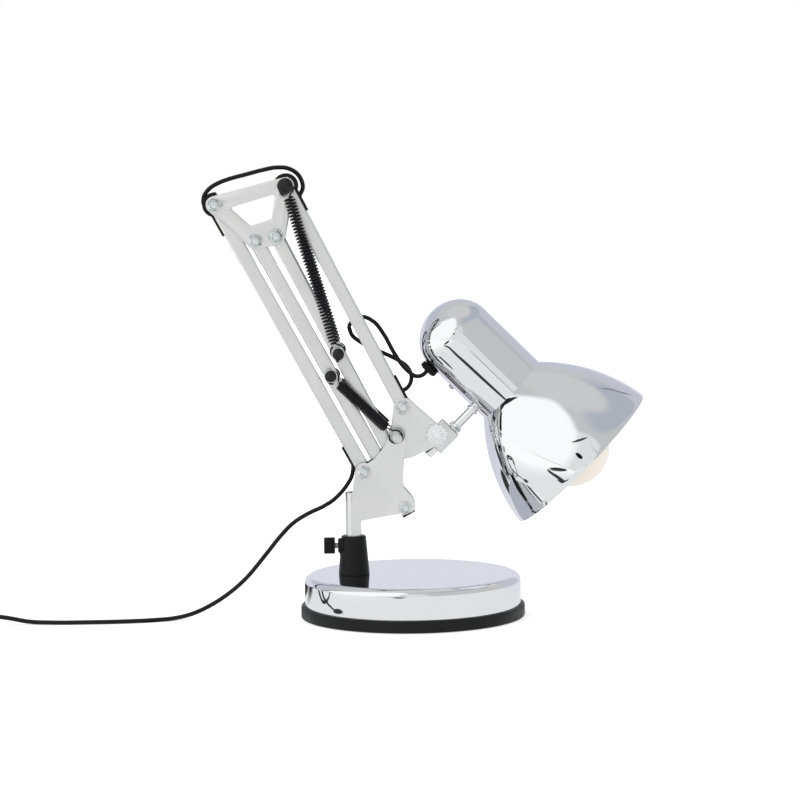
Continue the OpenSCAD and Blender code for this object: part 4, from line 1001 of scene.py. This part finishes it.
def make_plates():
    """Pressed elbow plates with a window, and triangular plates that carry the tilt joint."""
    outline = round_outline([(p.x, p.z) for p in (A, C, D, B)], 6, 10)
    window = round_outline([(A.x + 13, A.z - 3), (C.x - 3.2, C.z + 11.6), (D.x - 4.4, D.z + 13),
                            (B.x - 9, B.z - 7.6)], 1.5, 5)
    hull = round_outline([(E.x - 3.6, E.z), (I.x - 0.6, I.z + 0.4), (I.x + 11.6, I.z + 2.4),
                          (K.x - 0.4, K.z - 4.6), (K.x - 0.4, K.z + 3.4), (E.x + 2, E.z + 3.2)], 3.2, 6)
    sides = (("front", -PLATE_OUT, -PLATE_IN), ("rear", PLATE_IN, PLATE_OUT))
    for word, low, high in sides:
        plate = slab("elbow_" + word, outline, low, high)
        cut(plate, slab("window", window, -20, 20))
        drilled(plate, BOLT_HOLE_R, A, B, C, D)
        finish_plate(plate, "elbow", "elbow_plate_" + word)
    for word, low, high in sides:
        plate = slab("head_" + word, hull, low, high)
        for centre, radius in ((E, 6.6), (I, 5)):
            lobe = slab("lobe", arc((centre.x, centre.z), radius, 0, 352.5, 47), low, high)
            cut(plate, lobe, operation="UNION")
        drilled(plate, BOLT_HOLE_R, E, I)
        drilled(plate, 2.05, K)
        finish_plate(plate, "head_bracket", "head_plate_" + word)


# ---- springs

def wire_piece(name, path, radius):
    """Round wire along a path in millimetres, as a mesh with closed ends."""
    curve = bpy.data.curves.new(name, "CURVE")
    curve.dimensions = "3D"
    curve.bevel_depth = radius
    curve.bevel_resolution = 2
    curve.use_fill_caps = True
    spline = curve.splines.new("POLY")
    spline.points.add(len(path) - 1)
    for point, place in zip(spline.points, path):
        point.co = (*place, 1)
    wire = bpy.data.objects.new(name, curve)
    bpy.context.scene.collection.objects.link(wire)
    pick(wire)
    bpy.ops.object.convert(target="MESH")
    return bpy.context.object


def hook_ring(centre, radius, start, sweep, count=28):
    """Points of a hook's open ring in the XZ plane of the spring."""
    turns = [start + sweep * i / count for i in range(count + 1)]
    return [(centre + radius * math.cos(a), 0, radius * math.sin(a)) for a in turns]


def spring_path(span, coil_r, turns, first, last, ring_r, end_post_r, points=14):
    """Hook ring, close or open coil, and hook ring, on X from one post to the other."""
    ring_middle = ring_r - WIRE / 2 - POST_R
    far_middle = span - (ring_r - WIRE / 2 - end_post_r)
    start_ring = hook_ring(ring_middle, ring_r, math.radians(-35), math.radians(-300))
    end_ring = hook_ring(far_middle, ring_r, math.radians(155), math.radians(-310))
    coil = []
    total = round(turns * points)
    for i in range(total + 1):
        angle = math.tau * i / points
        settle_in = min(1, (i + 2) / points, (total - i + 2) / points)
        radius = coil_r * (0.55 + 0.45 * settle_in)
        coil.append((first + (last - first) * i / total, radius * math.cos(angle), radius * math.sin(angle)))
    return start_ring + coil + end_ring


def make_spring(name, start, end, y, coil_d, turns, first, last, ring_r, end_post_r, node):
    """A spring between two posts."""
    a, b = Vector((start.x, y, start.z)), Vector((end.x, y, end.z))
    span = (b - a).length
    path = spring_path(span, (coil_d - WIRE) / 2, turns, first, span - last, ring_r, end_post_r)
    piece = smooth(wire_piece(name, path, WIRE / 2), 60)
    settle(piece, a, along=b - a, up=polar(1, slope_of(a, b) + 90))
    dress(piece, None, "spring_black", node)
    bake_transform(piece)


def make_springs():
    for word, side in (("front", -1), ("rear", 1)):
        make_spring("long_coil_" + word, B, LONG_POST, side * LONG_SPRING_Y, 8.4, 46, 8.0, 7.6, 4.9, POST_R,
                    "long_spring_" + word)
        make_spring("short_coil_" + word, SHORT_POST, STUD, side * SHORT_SPRING_Y, 8.0, 35, 8.0, 10.5, 4.5,
                    STUD_R, "short_spring_" + word)


# ---- head

LAMP_DIR = polar(1, HEAD_SLOPE)
LAMP_UP = polar(1, 90 + HEAD_SLOPE)
AXIS_OFF = 58.3
HOUSING_R = corners("lamp_housing")[1].y
RIM_R = corners("shade")[1].y
NECK_AT = 15.7
NOSE_AT = -62.4
RIM_AT = 84.4
DOME_LEN = 25
BELL_R = 121
LAMP_SHEET = 0.8
UNDER = AXIS_OFF - HOUSING_R


def on_axis(piece, slot, node):
    """Settles a turned piece on the lamp's axis, its Z towards the rim, 0 level with the tilt pivot."""
    settle(piece, K + LAMP_UP * AXIS_OFF, along=LAMP_UP, up=LAMP_DIR)
    dress(piece, "head", slot, node)


def on_stem(piece, along, up, slot, *nodes):
    """Settles a piece on the head, its Z away from the tilt pivot, square to the lamp's axis."""
    settle(piece, K + LAMP_DIR * along + LAMP_UP * up, along=LAMP_DIR, up=LAMP_UP)
    dress(piece, "head", slot, *nodes)


def housing_side(radius, nose, count):
    reach = DOME_LEN + radius - HOUSING_R
    angles = [math.pi / 2 * i / count for i in range(count + 1)]
    return [(radius * math.sin(a), nose + reach * (1 - math.cos(a))) for a in angles]


def make_housing():
    """Spun chrome housing: a dome on a straight barrel."""
    inner_r = HOUSING_R - LAMP_SHEET
    outline = housing_side(HOUSING_R, NOSE_AT, 28)
    outline += [(HOUSING_R, NOSE_AT + 40), (HOUSING_R, NECK_AT - 8), (HOUSING_R, NECK_AT - 1.5),
                (HOUSING_R, NECK_AT), (inner_r, NECK_AT)]
    outline += reversed(housing_side(inner_r, NOSE_AT + LAMP_SHEET, 20))
    on_axis(turned("housing_barrel", outline, 128, 30), "housing_chrome", "lamp_housing")


def bell(offset, count):
    """The shade's curve, from the neck to the rim, on an arc that swells outwards."""
    neck, rim = Vector((HOUSING_R, NECK_AT)), Vector((RIM_R, RIM_AT))
    chord = rim - neck
    across = Vector((-chord.y, chord.x)).normalized()
    centre = (neck + rim) / 2 + across * math.sqrt(BELL_R**2 - chord.length_squared / 4)
    start = math.degrees(math.atan2(neck.y - centre.y, neck.x - centre.x))
    end = math.degrees(math.atan2(rim.y - centre.y, rim.x - centre.x))
    return arc(centre, BELL_R - offset, start, end, count)


def make_shade():
    """Spun bell with a thin rolled rim."""
    rim = arc((RIM_R - 0.75, RIM_AT - 0.45), 0.6, 60, 150, 4)
    holder_r, inner_at = 19.6, NECK_AT + LAMP_SHEET
    outline = [(holder_r, NECK_AT), (HOUSING_R - 0.6, NECK_AT)] + bell(0, 36)[:-1] + rim
    outline += bell(LAMP_SHEET, 30)[-2::-1]
    outline += [(HOUSING_R - 1.4, inner_at), (holder_r, inner_at), (holder_r, NECK_AT)]
    on_axis(turned("shade_bell", outline, 160, 30), "shade_chrome", "shade")


def make_lamp_inside():
    """Retaining ring, lamp holder, bulb cap and frosted bulb."""
    outline = [(19.55, 16.5), (23.1, 16.5), (23.5, 16.9), (23.5, 22.1), (23.1, 22.5), (20, 22.5),
               (19.55, 22.1), (19.55, 16.5)]
    on_axis(turned("shade_ring_ribbed", outline, 72), "holder_black", "shade_ring")
    back, front = NECK_AT - 30, NECK_AT + 9
    outline = [(0, back), (17.5, back), (19.5, back + 2), (19.5, NECK_AT - 3), (23, NECK_AT - 3),
               (23, NECK_AT), (19.5, NECK_AT), (19.5, front - 0.8), (18.9, front), (14.4, front),
               (13.5, front - 0.9), (13.5, back + 13), (0, back + 13)]
    on_axis(turned("lamp_holder_body", outline, 72), "holder_black", "lamp_holder")
    low, high = 2.7, 26.7
    outline = [(0, low - 4), (4.4, low - 4), (5, low - 3.4), (5, low), (11, low + 0.5)]
    for i in range(6):
        outline += [(12.5, low + 2 + 3 * i), (13.2, low + 3.5 + 3 * i)]
    outline += [(12.8, high), (0, high)]
    on_axis(turned("bulb_cap_threaded", outline, 64, 60), "cap_nickel", "bulb_cap")
    globe_r, mouth = corners("bulb_glass")[1].y, 12.8
    outline = arc((0, RIM_AT + 16.8 - globe_r), globe_r, 90, -32, 36)
    edge = outline[-1]
    for i in range(1, 13):
        u = i / 12
        outline.append((mouth + (edge[0] - mouth) * (1 - u) ** 2, edge[1] + (high - edge[1]) * u))
    on_axis(turned("bulb_globe", outline + [(0, high)], 96, 50), "bulb_frosted", "bulb_glass")


def make_stem():
    """Chrome stem with its collar, lock nut and washer, and its nut inside the housing."""
    at, r = 6, 3.3
    foot, top = -15, UNDER + 7
    outline = [(0, foot), (r - 0.4, foot), (r, foot + 0.4), (r, top - 0.4), (r - 0.4, top), (0, top)]
    on_stem(turned("stem_rod", outline, 40, 30), at, 0, "stem_chrome", "head_stem")
    outline = [(r, 0), (4.3, 0), (4.5, 0.3), (4.5, 1.6), (4.1, 2.2), (r, 2.2)]
    on_stem(turned("stem_collar", outline, 40, 30), at, UNDER - 2.6, "stem_chrome")
    on_stem(hex_nut("stem_inner_nut", 10, 4), at, UNDER + 1.7, "bolt_zinc", "stem_nut")
    lock = joined("stem_lock_nut", hex_nut("lock", 9, 3.2), washer("lock_washer", 5.4, 0.7, r))
    on_stem(lock, at, 11.2, "bolt_zinc")


def make_knuckle():
    """Die-cast knuckle that pivots between the head plates."""
    low, high = Vector((-4.5, -BAR_DEPTH / 2, -8)), Vector((11.8, BAR_DEPTH / 2, 10.5))
    knuckle = rounded_block("knuckle_block", low, high, 1.3)
    barrel = fresh("barrel", CYLINDER, vertices=48, radius=5.5, depth=BAR_DEPTH, rotation=LYING)
    cut(knuckle, in_place(barrel), operation="UNION")
    soften(knuckle, 0.2, 2, 50)
    on_stem(smooth(knuckle), 0, 0, "knuckle_zinc", "knuckle")


def make_wing_knob():
    """Clear knob with a ribbed rim and a domed middle, on the tilt joint's bolt."""
    rim_r, valley_r, low = 7.4, 6.6, PLATE_OUT + 0.3
    steps = [(-10, valley_r), (-6, rim_r - 0.15), (0, rim_r), (6, rim_r - 0.15), (10, valley_r)]
    rim = slab("rim", ribs(12, steps), 0, 4)
    soften(rim, 0.5, 3, 50)
    rim.matrix_world = Matrix.Translation((0, 0, low)) @ Matrix.Rotation(math.pi / 2, 4, "X")
    dome = lathe("dome", [(3.9, low + 3.9), (3.9, low + 4.4)] + arc((0, low + 3.4), 3.6, 22, 90, 8), 48)
    piece = smooth(in_place(joined("wing_knob_clear", dome, rim)), 40)
    dress(settle(piece, K, up=FRONT), "wing_knob", "knob_clear", "wing_knob")


def make_gland_and_screw():
    """Ribbed strain relief where the lead enters the housing, and a slotted screw."""
    outline = [(0, -4.5), (4.6, -4.5), (5.4, -3.9)]
    for low in (-3.5, -2.4, -1.3):
        outline += [(6.5, low), (6.5, low + 0.6), (6.0, low + 0.85)]
    outline += [(6.2, -0.1), (6.0, 0.0), (4.0, 0), (4.0, 3.7), (0, 3.7)]
    gland = turned("gland_ribbed", outline, 48, 30)
    on_stem(gland, GLAND_AT, UNDER - 0.1, "gland_black", "lead_gland")
    outline = [(0, -1.6), (1.6, -1.5), (2.2, -0.9), (2.2, 0), (1.5, 0), (1.5, 4.8), (0, 4.8)]
    screw = lathe("screw", outline, 32)
    cut(screw, block("slot", (0, 0, -1.5), (6, 0.6, 0.9)))
    on_stem(smooth(screw, 30), -15.5, UNDER - 0.1, "screw_steel", "housing_screw")


# ---- on the free lead

def rounded_block(name, low, high, radius, segments=4):
    piece = block(name, (low + high) / 2, high - low)
    soften(piece, radius, segments)
    return piece


def make_switch():
    """In-line rocker switch: two half shells with a seam, a well, and the rocker."""
    low, high = corners("switch_body")
    lower = rounded_block("shell_low", low, Vector((high.x, high.y, 6.35)), 1.6)
    upper = rounded_block("shell_high", Vector((low.x, low.y, 6.65)), high, 1.6)
    seam = rounded_block("seam", low + Vector((1, 1, 4)), high - Vector((1, 1, 4)), 0.5)
    start, end = [corner.x for corner in corners("switch_rocker")]
    cut(upper, rounded_block("well", Vector((start - 0.8, -24, 6.8)), Vector((end + 0.8, -12, 20)), 0.4))
    body = joined("switch_shells", upper, lower, seam)
    mid_x, mid_y, half_len = (low.x + high.x) / 2, (low.y + high.y) / 2, (high.x - low.x) / 2
    for vertex in body.data.vertices:
        # The ends draw in towards the lead
        reach = abs(vertex.co.x - mid_x) / half_len
        vertex.co.y = mid_y + (vertex.co.y - mid_y) * (1 - 0.34 * ease((reach - 0.55) / 0.45))
    dress(settle(smooth(body)), "base", "switch_black", "switch_body")
    half, lean = 9.6, 8
    rocker = slab("rocker_cap", [(-half, -1.5), (half, -1.5), (half, 4.4), (half * 0.5, 3.5), (0, 3.2),
                                 (-half * 0.5, 3.5), (-half, 4.4)], -5.7, 5.7)
    soften(rocker, 0.4, 3)
    settle(smooth(rocker), PIVOT["switch_rocker"], along=polar(1, lean), up=polar(1, 90 + lean))
    dress(rocker, "switch_rocker", "rocker_black", "switch_rocker")
    return body, rocker


def make_plug():
    """Two-pin plug with a waisted body, a soft neck, and its nickel pins."""
    low, high = corners("plug_body")
    mid_y, top = (low.y + high.y) / 2, high.z
    face, length = (high.y - low.y) / 2, high.x - low.x
    waist = [(0, 6), (5, 6.2), (10, 7.6), (15, 10.6), (20, 13.4), (26, 15.6), (31, 16.9), (length, face)]
    outline = [(low.x + x, mid_y + y) for x, y in waist]
    outline += [(low.x + x, mid_y - y) for x, y in reversed(waist)]
    # Modelled standing in XZ, then laid down
    body = slab("plug_moulding", outline, -top, 0)
    body.matrix_world = Matrix.Rotation(-math.pi / 2, 4, "X")
    for vertex in in_place(body).data.vertices:
        # The neck is thinner than the face
        thin = 1 - 0.42 * (1 - ease((vertex.co.x - low.x) / length / 0.5))
        vertex.co.z = top / 2 + (vertex.co.z - top / 2) * thin
    soften(body, 1.5, 4, 50)
    dress(settle(smooth(body)), "base", "plug_black", "plug_body")
    outline = [(0, 0), (2, 0), (2, 20.8), (1.7, 21.5)] + arc((0.9, 21.2), 0.8, 0, 90, 4) + [(0, 22)]
    pins = []
    for side in (-1, 1):
        place = (high.x - 3, mid_y + side * 9.3, top / 2)
        pins.append(settle(turned("pin", outline, 32, 40), place, along=(0, 1, 0), up=(1, 0, 0)))
    pair = dress(joined("plug_pin_pair", *pins), "base", "pin_nickel", "plug_pins")
    return body, pair


def make_tie():
    """Soft band round the coil's turns."""
    low, high = corners("coil_tie")
    band = rounded_block("tie_band", low, high, 0.9)
    inner = rounded_block("inner", low + Vector((0.5, -2, 0.5)), high - Vector((0.5, -2, 0.5)), 0.6)
    cut(band, inner)
    return dress(settle(smooth(band)), "base", "tie_black", "coil_tie")


# ---- studio

def math_node(tree, operation, *values):
    made = add_node(tree, "Math", {"operation": operation})
    for socket, value in zip(made.inputs, values):
        feed(tree, socket, value)
    return made.outputs["Value"]


def vector_node(tree, operation, first, second=None, output="Vector"):
    made = add_node(tree, "VectorMath", {"operation": operation})
    feed(tree, made.inputs[0], first)
    if second is not None:
        feed(tree, made.inputs["Scale" if isinstance(second, float) else 1], second)
    return made.outputs[output]


def wobbled(tree, place, scale, detail, depth):
    """A place pushed about a little by noise, so that no edge in the mirror is ruled."""
    noise = add_node(tree, "TexNoise", Vector=place, Scale=scale, Detail=detail).outputs["Color"]
    centred = vector_node(tree, "SUBTRACT", noise, (0.5, 0.5, 0.5))
    return vector_node(tree, "ADD", place, vector_node(tree, "SCALE", centred, depth))


def ray_masks(tree):
    """Masks of the rays that mirror or pass through something, and of those from the camera."""
    rays = add_node(tree, "LightPath").outputs
    mirrored = math_node(tree, "MAXIMUM", rays["Is Glossy Ray"], rays["Is Transmission Ray"])
    return mirrored, rays["Is Camera Ray"]


def patch(tree, place, centre, half, tilt, blur, square):
    """A soft mask of an oval, or of a rounded rectangle, in the plane of place."""
    spot = add_node(tree, "Mapping", {"vector_type": "TEXTURE"}, Vector=place, Location=(*centre, 0),
                    Rotation=(0, 0, math.radians(tilt)), Scale=(*half, 1)).outputs["Vector"]
    if square:
        spot = vector_node(tree, "MULTIPLY", spot, spot)
    reach = vector_node(tree, "DOT_PRODUCT", spot, spot, "Value")
    return ramp(tree, reach, 1 - blur, 1 + blur, 1, 0)


# Panels of the studio that the chrome mirrors: middle as azimuth and elevation in degrees
# (0 is straight behind the lamp, 90 its left, counted from 20 to 380), half sizes, tilt,
# blur of the edge, whether the panel is square, and colour
STUDIO_BASE = (0.62, 0.625, 0.64)
STUDIO_PANELS = [
    ((345, 5), (48, 34), 0, 0.5, True, (0.6, 0.62, 0.7)),
    ((44, 10), (28, 34), 0, 0.5, True, (0.56, 0.59, 0.66)),
    ((360, 4), (26, 13), 0, 0.5, True, (0.75, 0.76, 0.84)),
    ((20, 4), (26, 13), 0, 0.5, True, (0.75, 0.76, 0.84)),
    ((262, 52), (68, 13), 0, 0.8, True, (0.48, 0.52, 0.58)),
    ((200, 90), (400, 27), 0, 0.8, True, (0.68, 0.68, 0.675)),
    ((240, 10), (43, 36), 0, 0.4, True, (0.62, 0.62, 0.625)),
    ((168, 5), (29, 34), 0, 0.3, True, (0.84, 0.84, 0.835)),
    ((112, 3), (32, 18), 0, 0.4, True, (0.88, 0.88, 0.88)),
    ((125, 20), (56, 33), 40, 0.22, False, (1.12, 1.12, 1.12)),
    ((191.5, 19), (12, 0.6), -50, 0.5, False, (0.4, 0.4, 0.43)),
    ((91, 25), (23, 1.6), 53, 0.3, False, (0.02, 0.02, 0.025)),
    ((73, 3), (9, 2.2), 36, 0.3, False, (0.015, 0.015, 0.02)),
    ((84, 22), (17, 1.0), 60, 0.3, False, (0.05, 0.05, 0.06)),
    ((174, 30), (10.5, 0.9), 29, 0.3, False, (0.06, 0.06, 0.07)),
    ((168, 14), (2.8, 2.6), 0, 0.3, False, (0.01, 0.01, 0.012)),
    ((320, 46), (15, 0.9), -66, 0.4, False, (0.22, 0.22, 0.25)),
]

# The floor as the chrome mirrors it: tone, then a lavender part behind the lamp and a white
# part to its left; marks give middle and half sizes in metres, tilt and blur
FLOOR_TONE = (0.84, 0.845, 0.85)
FLOOR_BEHIND = ((0, 3.25), (6, 3.1), (0.66, 0.68, 0.76))
FLOOR_LEFT = ((-3.2, -0.9), (2.9, 1.6), (1.1, 1.1, 1.1))
FLOOR_MARKS = [
    ((-0.22, -0.4), (0.17, 0.034), 22, 0.3),
    ((-0.085, -0.345), (0.056, 0.05), 5, 0.3),
    ((0.22, -3.2), (0.6, 0.09), 90, 0.3),
    ((-0.6, -1.12), (0.64, 0.1), 70, 0.3),
    ((-0.215, 0.01), (0.11, 0.006), -42, 0.4),
    ((-0.142, -0.058), (0.016, 0.014), 0, 0.3),
    ((-0.36, 0.245), (0.29, 0.03), -37, 0.4),
    ((-0.115, 0.135), (0.075, 0.034), -30, 0.4),
]

WHITE = (1, 1, 1, 1)


def add_world():
    """White to the camera, a studio with panels to chrome and glass, and plain soft light."""
    world = bpy.data.worlds.new("studio")
    bpy.context.scene.world = world
    world.use_nodes = True
    tree = world.node_tree
    bent = wobbled(tree, add_node(tree, "TexCoord").outputs["Generated"], 3.5, 2, 0.06)
    where = add_node(tree, "SeparateXYZ", Vector=vector_node(tree, "NORMALIZE", bent)).outputs
    turn = math_node(tree, "ARCTAN2", math_node(tree, "MULTIPLY", where["X"], -1), where["Y"])
    azimuth = math_node(tree, "WRAP", math_node(tree, "MULTIPLY", turn, 180 / math.pi), 380.0, 20.0)
    height = math_node(tree, "MULTIPLY", math_node(tree, "ARCSINE", where["Z"]), 180 / math.pi)
    place = add_node(tree, "CombineXYZ", X=azimuth, Y=height).outputs["Vector"]
    colour = (*STUDIO_BASE, 1)
    for centre, half, tilt, blur, square, tone in STUDIO_PANELS:
        colour = blended(tree, patch(tree, place, centre, half, tilt, blur, square), colour, (*tone, 1))
    mirrored, seen = ray_masks(tree)
    plain = blended(tree, mirrored, (0.42, 0.42, 0.43, 1), colour)
    feed(tree, tree.nodes["Background"].inputs["Color"], blended(tree, seen, plain, WHITE))


def add_floor():
    """White floor that keeps the object's soft shadow; chrome sees it pale, with dark marks."""
    floor = fresh("floor", bpy.ops.mesh.primitive_plane_add, size=12)
    material = bpy.data.materials.new("floor")
    material.use_nodes = True
    tree = material.node_tree
    mirrored, seen = ray_masks(tree)
    place = add_node(tree, "TexCoord").outputs["Object"]
    bent = wobbled(tree, place, 9, 3, 0.03)
    colour = (*FLOOR_TONE, 1)
    for centre, half, tint in (FLOOR_BEHIND, FLOOR_LEFT):
        colour = blended(tree, patch(tree, bent, centre, half, 0, 0.3, True), colour, (*tint, 1))
    glow = mirrored
    for centre, half, tilt, blur in FLOOR_MARKS:
        mark = patch(tree, bent, centre, half, tilt, blur, False)
        glow = math_node(tree, "MULTIPLY", glow, math_node(tree, "SUBTRACT", 1.0, mark))
    # Straight to the camera the floor turns plain white away from the lamp's own shadow
    near_lamp = patch(tree, place, (-0.1, 0.05), (0.75, 0.55), 0, 0.6, False)
    white = math_node(tree, "SUBTRACT", 1.2, math_node(tree, "MULTIPLY", near_lamp, 0.56))
    shown = math_node(tree, "MULTIPLY", seen, white)
    for label, value in {
            "Roughness": 0.9, "Specular IOR Level": 0.0,
            "Base Color": blended(tree, mirrored, (0.8, 0.8, 0.8, 1), (0.06, 0.06, 0.06, 1)),
            "Emission Color": blended(tree, seen, colour, WHITE),
            "Emission Strength": math_node(tree, "ADD", glow, shown)}.items():
        feed(tree, tree.nodes["Principled BSDF"].inputs[label], value)
    floor.data.materials.append(material)


def add_lamp(name, place, size, watts):
    """A soft square light aimed at the lamp; chrome sees the studio's panels instead of it."""
    data = bpy.data.lights.new(name, "AREA")
    data.shape, data.size, data.energy = "SQUARE", size, watts
    lamp = bpy.data.objects.new(name, data)
    bpy.context.scene.collection.objects.link(lamp)
    aim = Vector((-0.03, 0, 0.15)) - Vector(place)
    lamp.matrix_world = Matrix.Translation(place) @ aim.to_track_quat("-Z", "Y").to_matrix().to_4x4()
    lamp.visible_glossy = False


def add_studio():
    add_world()
    add_floor()
    add_lamp("key", (-1.2, -1.6, 1.9), 1.2, 14)
    add_lamp("fill", (1.6, -1.2, 1.3), 1.2, 6)
    add_lamp("top", (0.1, 0.5, 2.2), 1.4, 10)
    bpy.context.scene.view_settings.view_transform = "Standard"


# ---- the whole lamp

add_camera()
dress_cad_nodes()
(tail_top, top_path), (tail_rest, rest_path), (coil, turns_path) = make_lead()
make_base()
make_socket()
make_thumbscrew()
make_lower_bracket()
make_studs()
make_bolts()
make_bars()
make_posts()
make_plates()
make_springs()
make_housing()
make_shade()
make_lamp_inside()
make_stem()
make_knuckle()
make_wing_knob()
make_gland_and_screw()
switch, rocker = make_switch()
plug, pins = make_plug()
tie = make_tie()
add_studio()
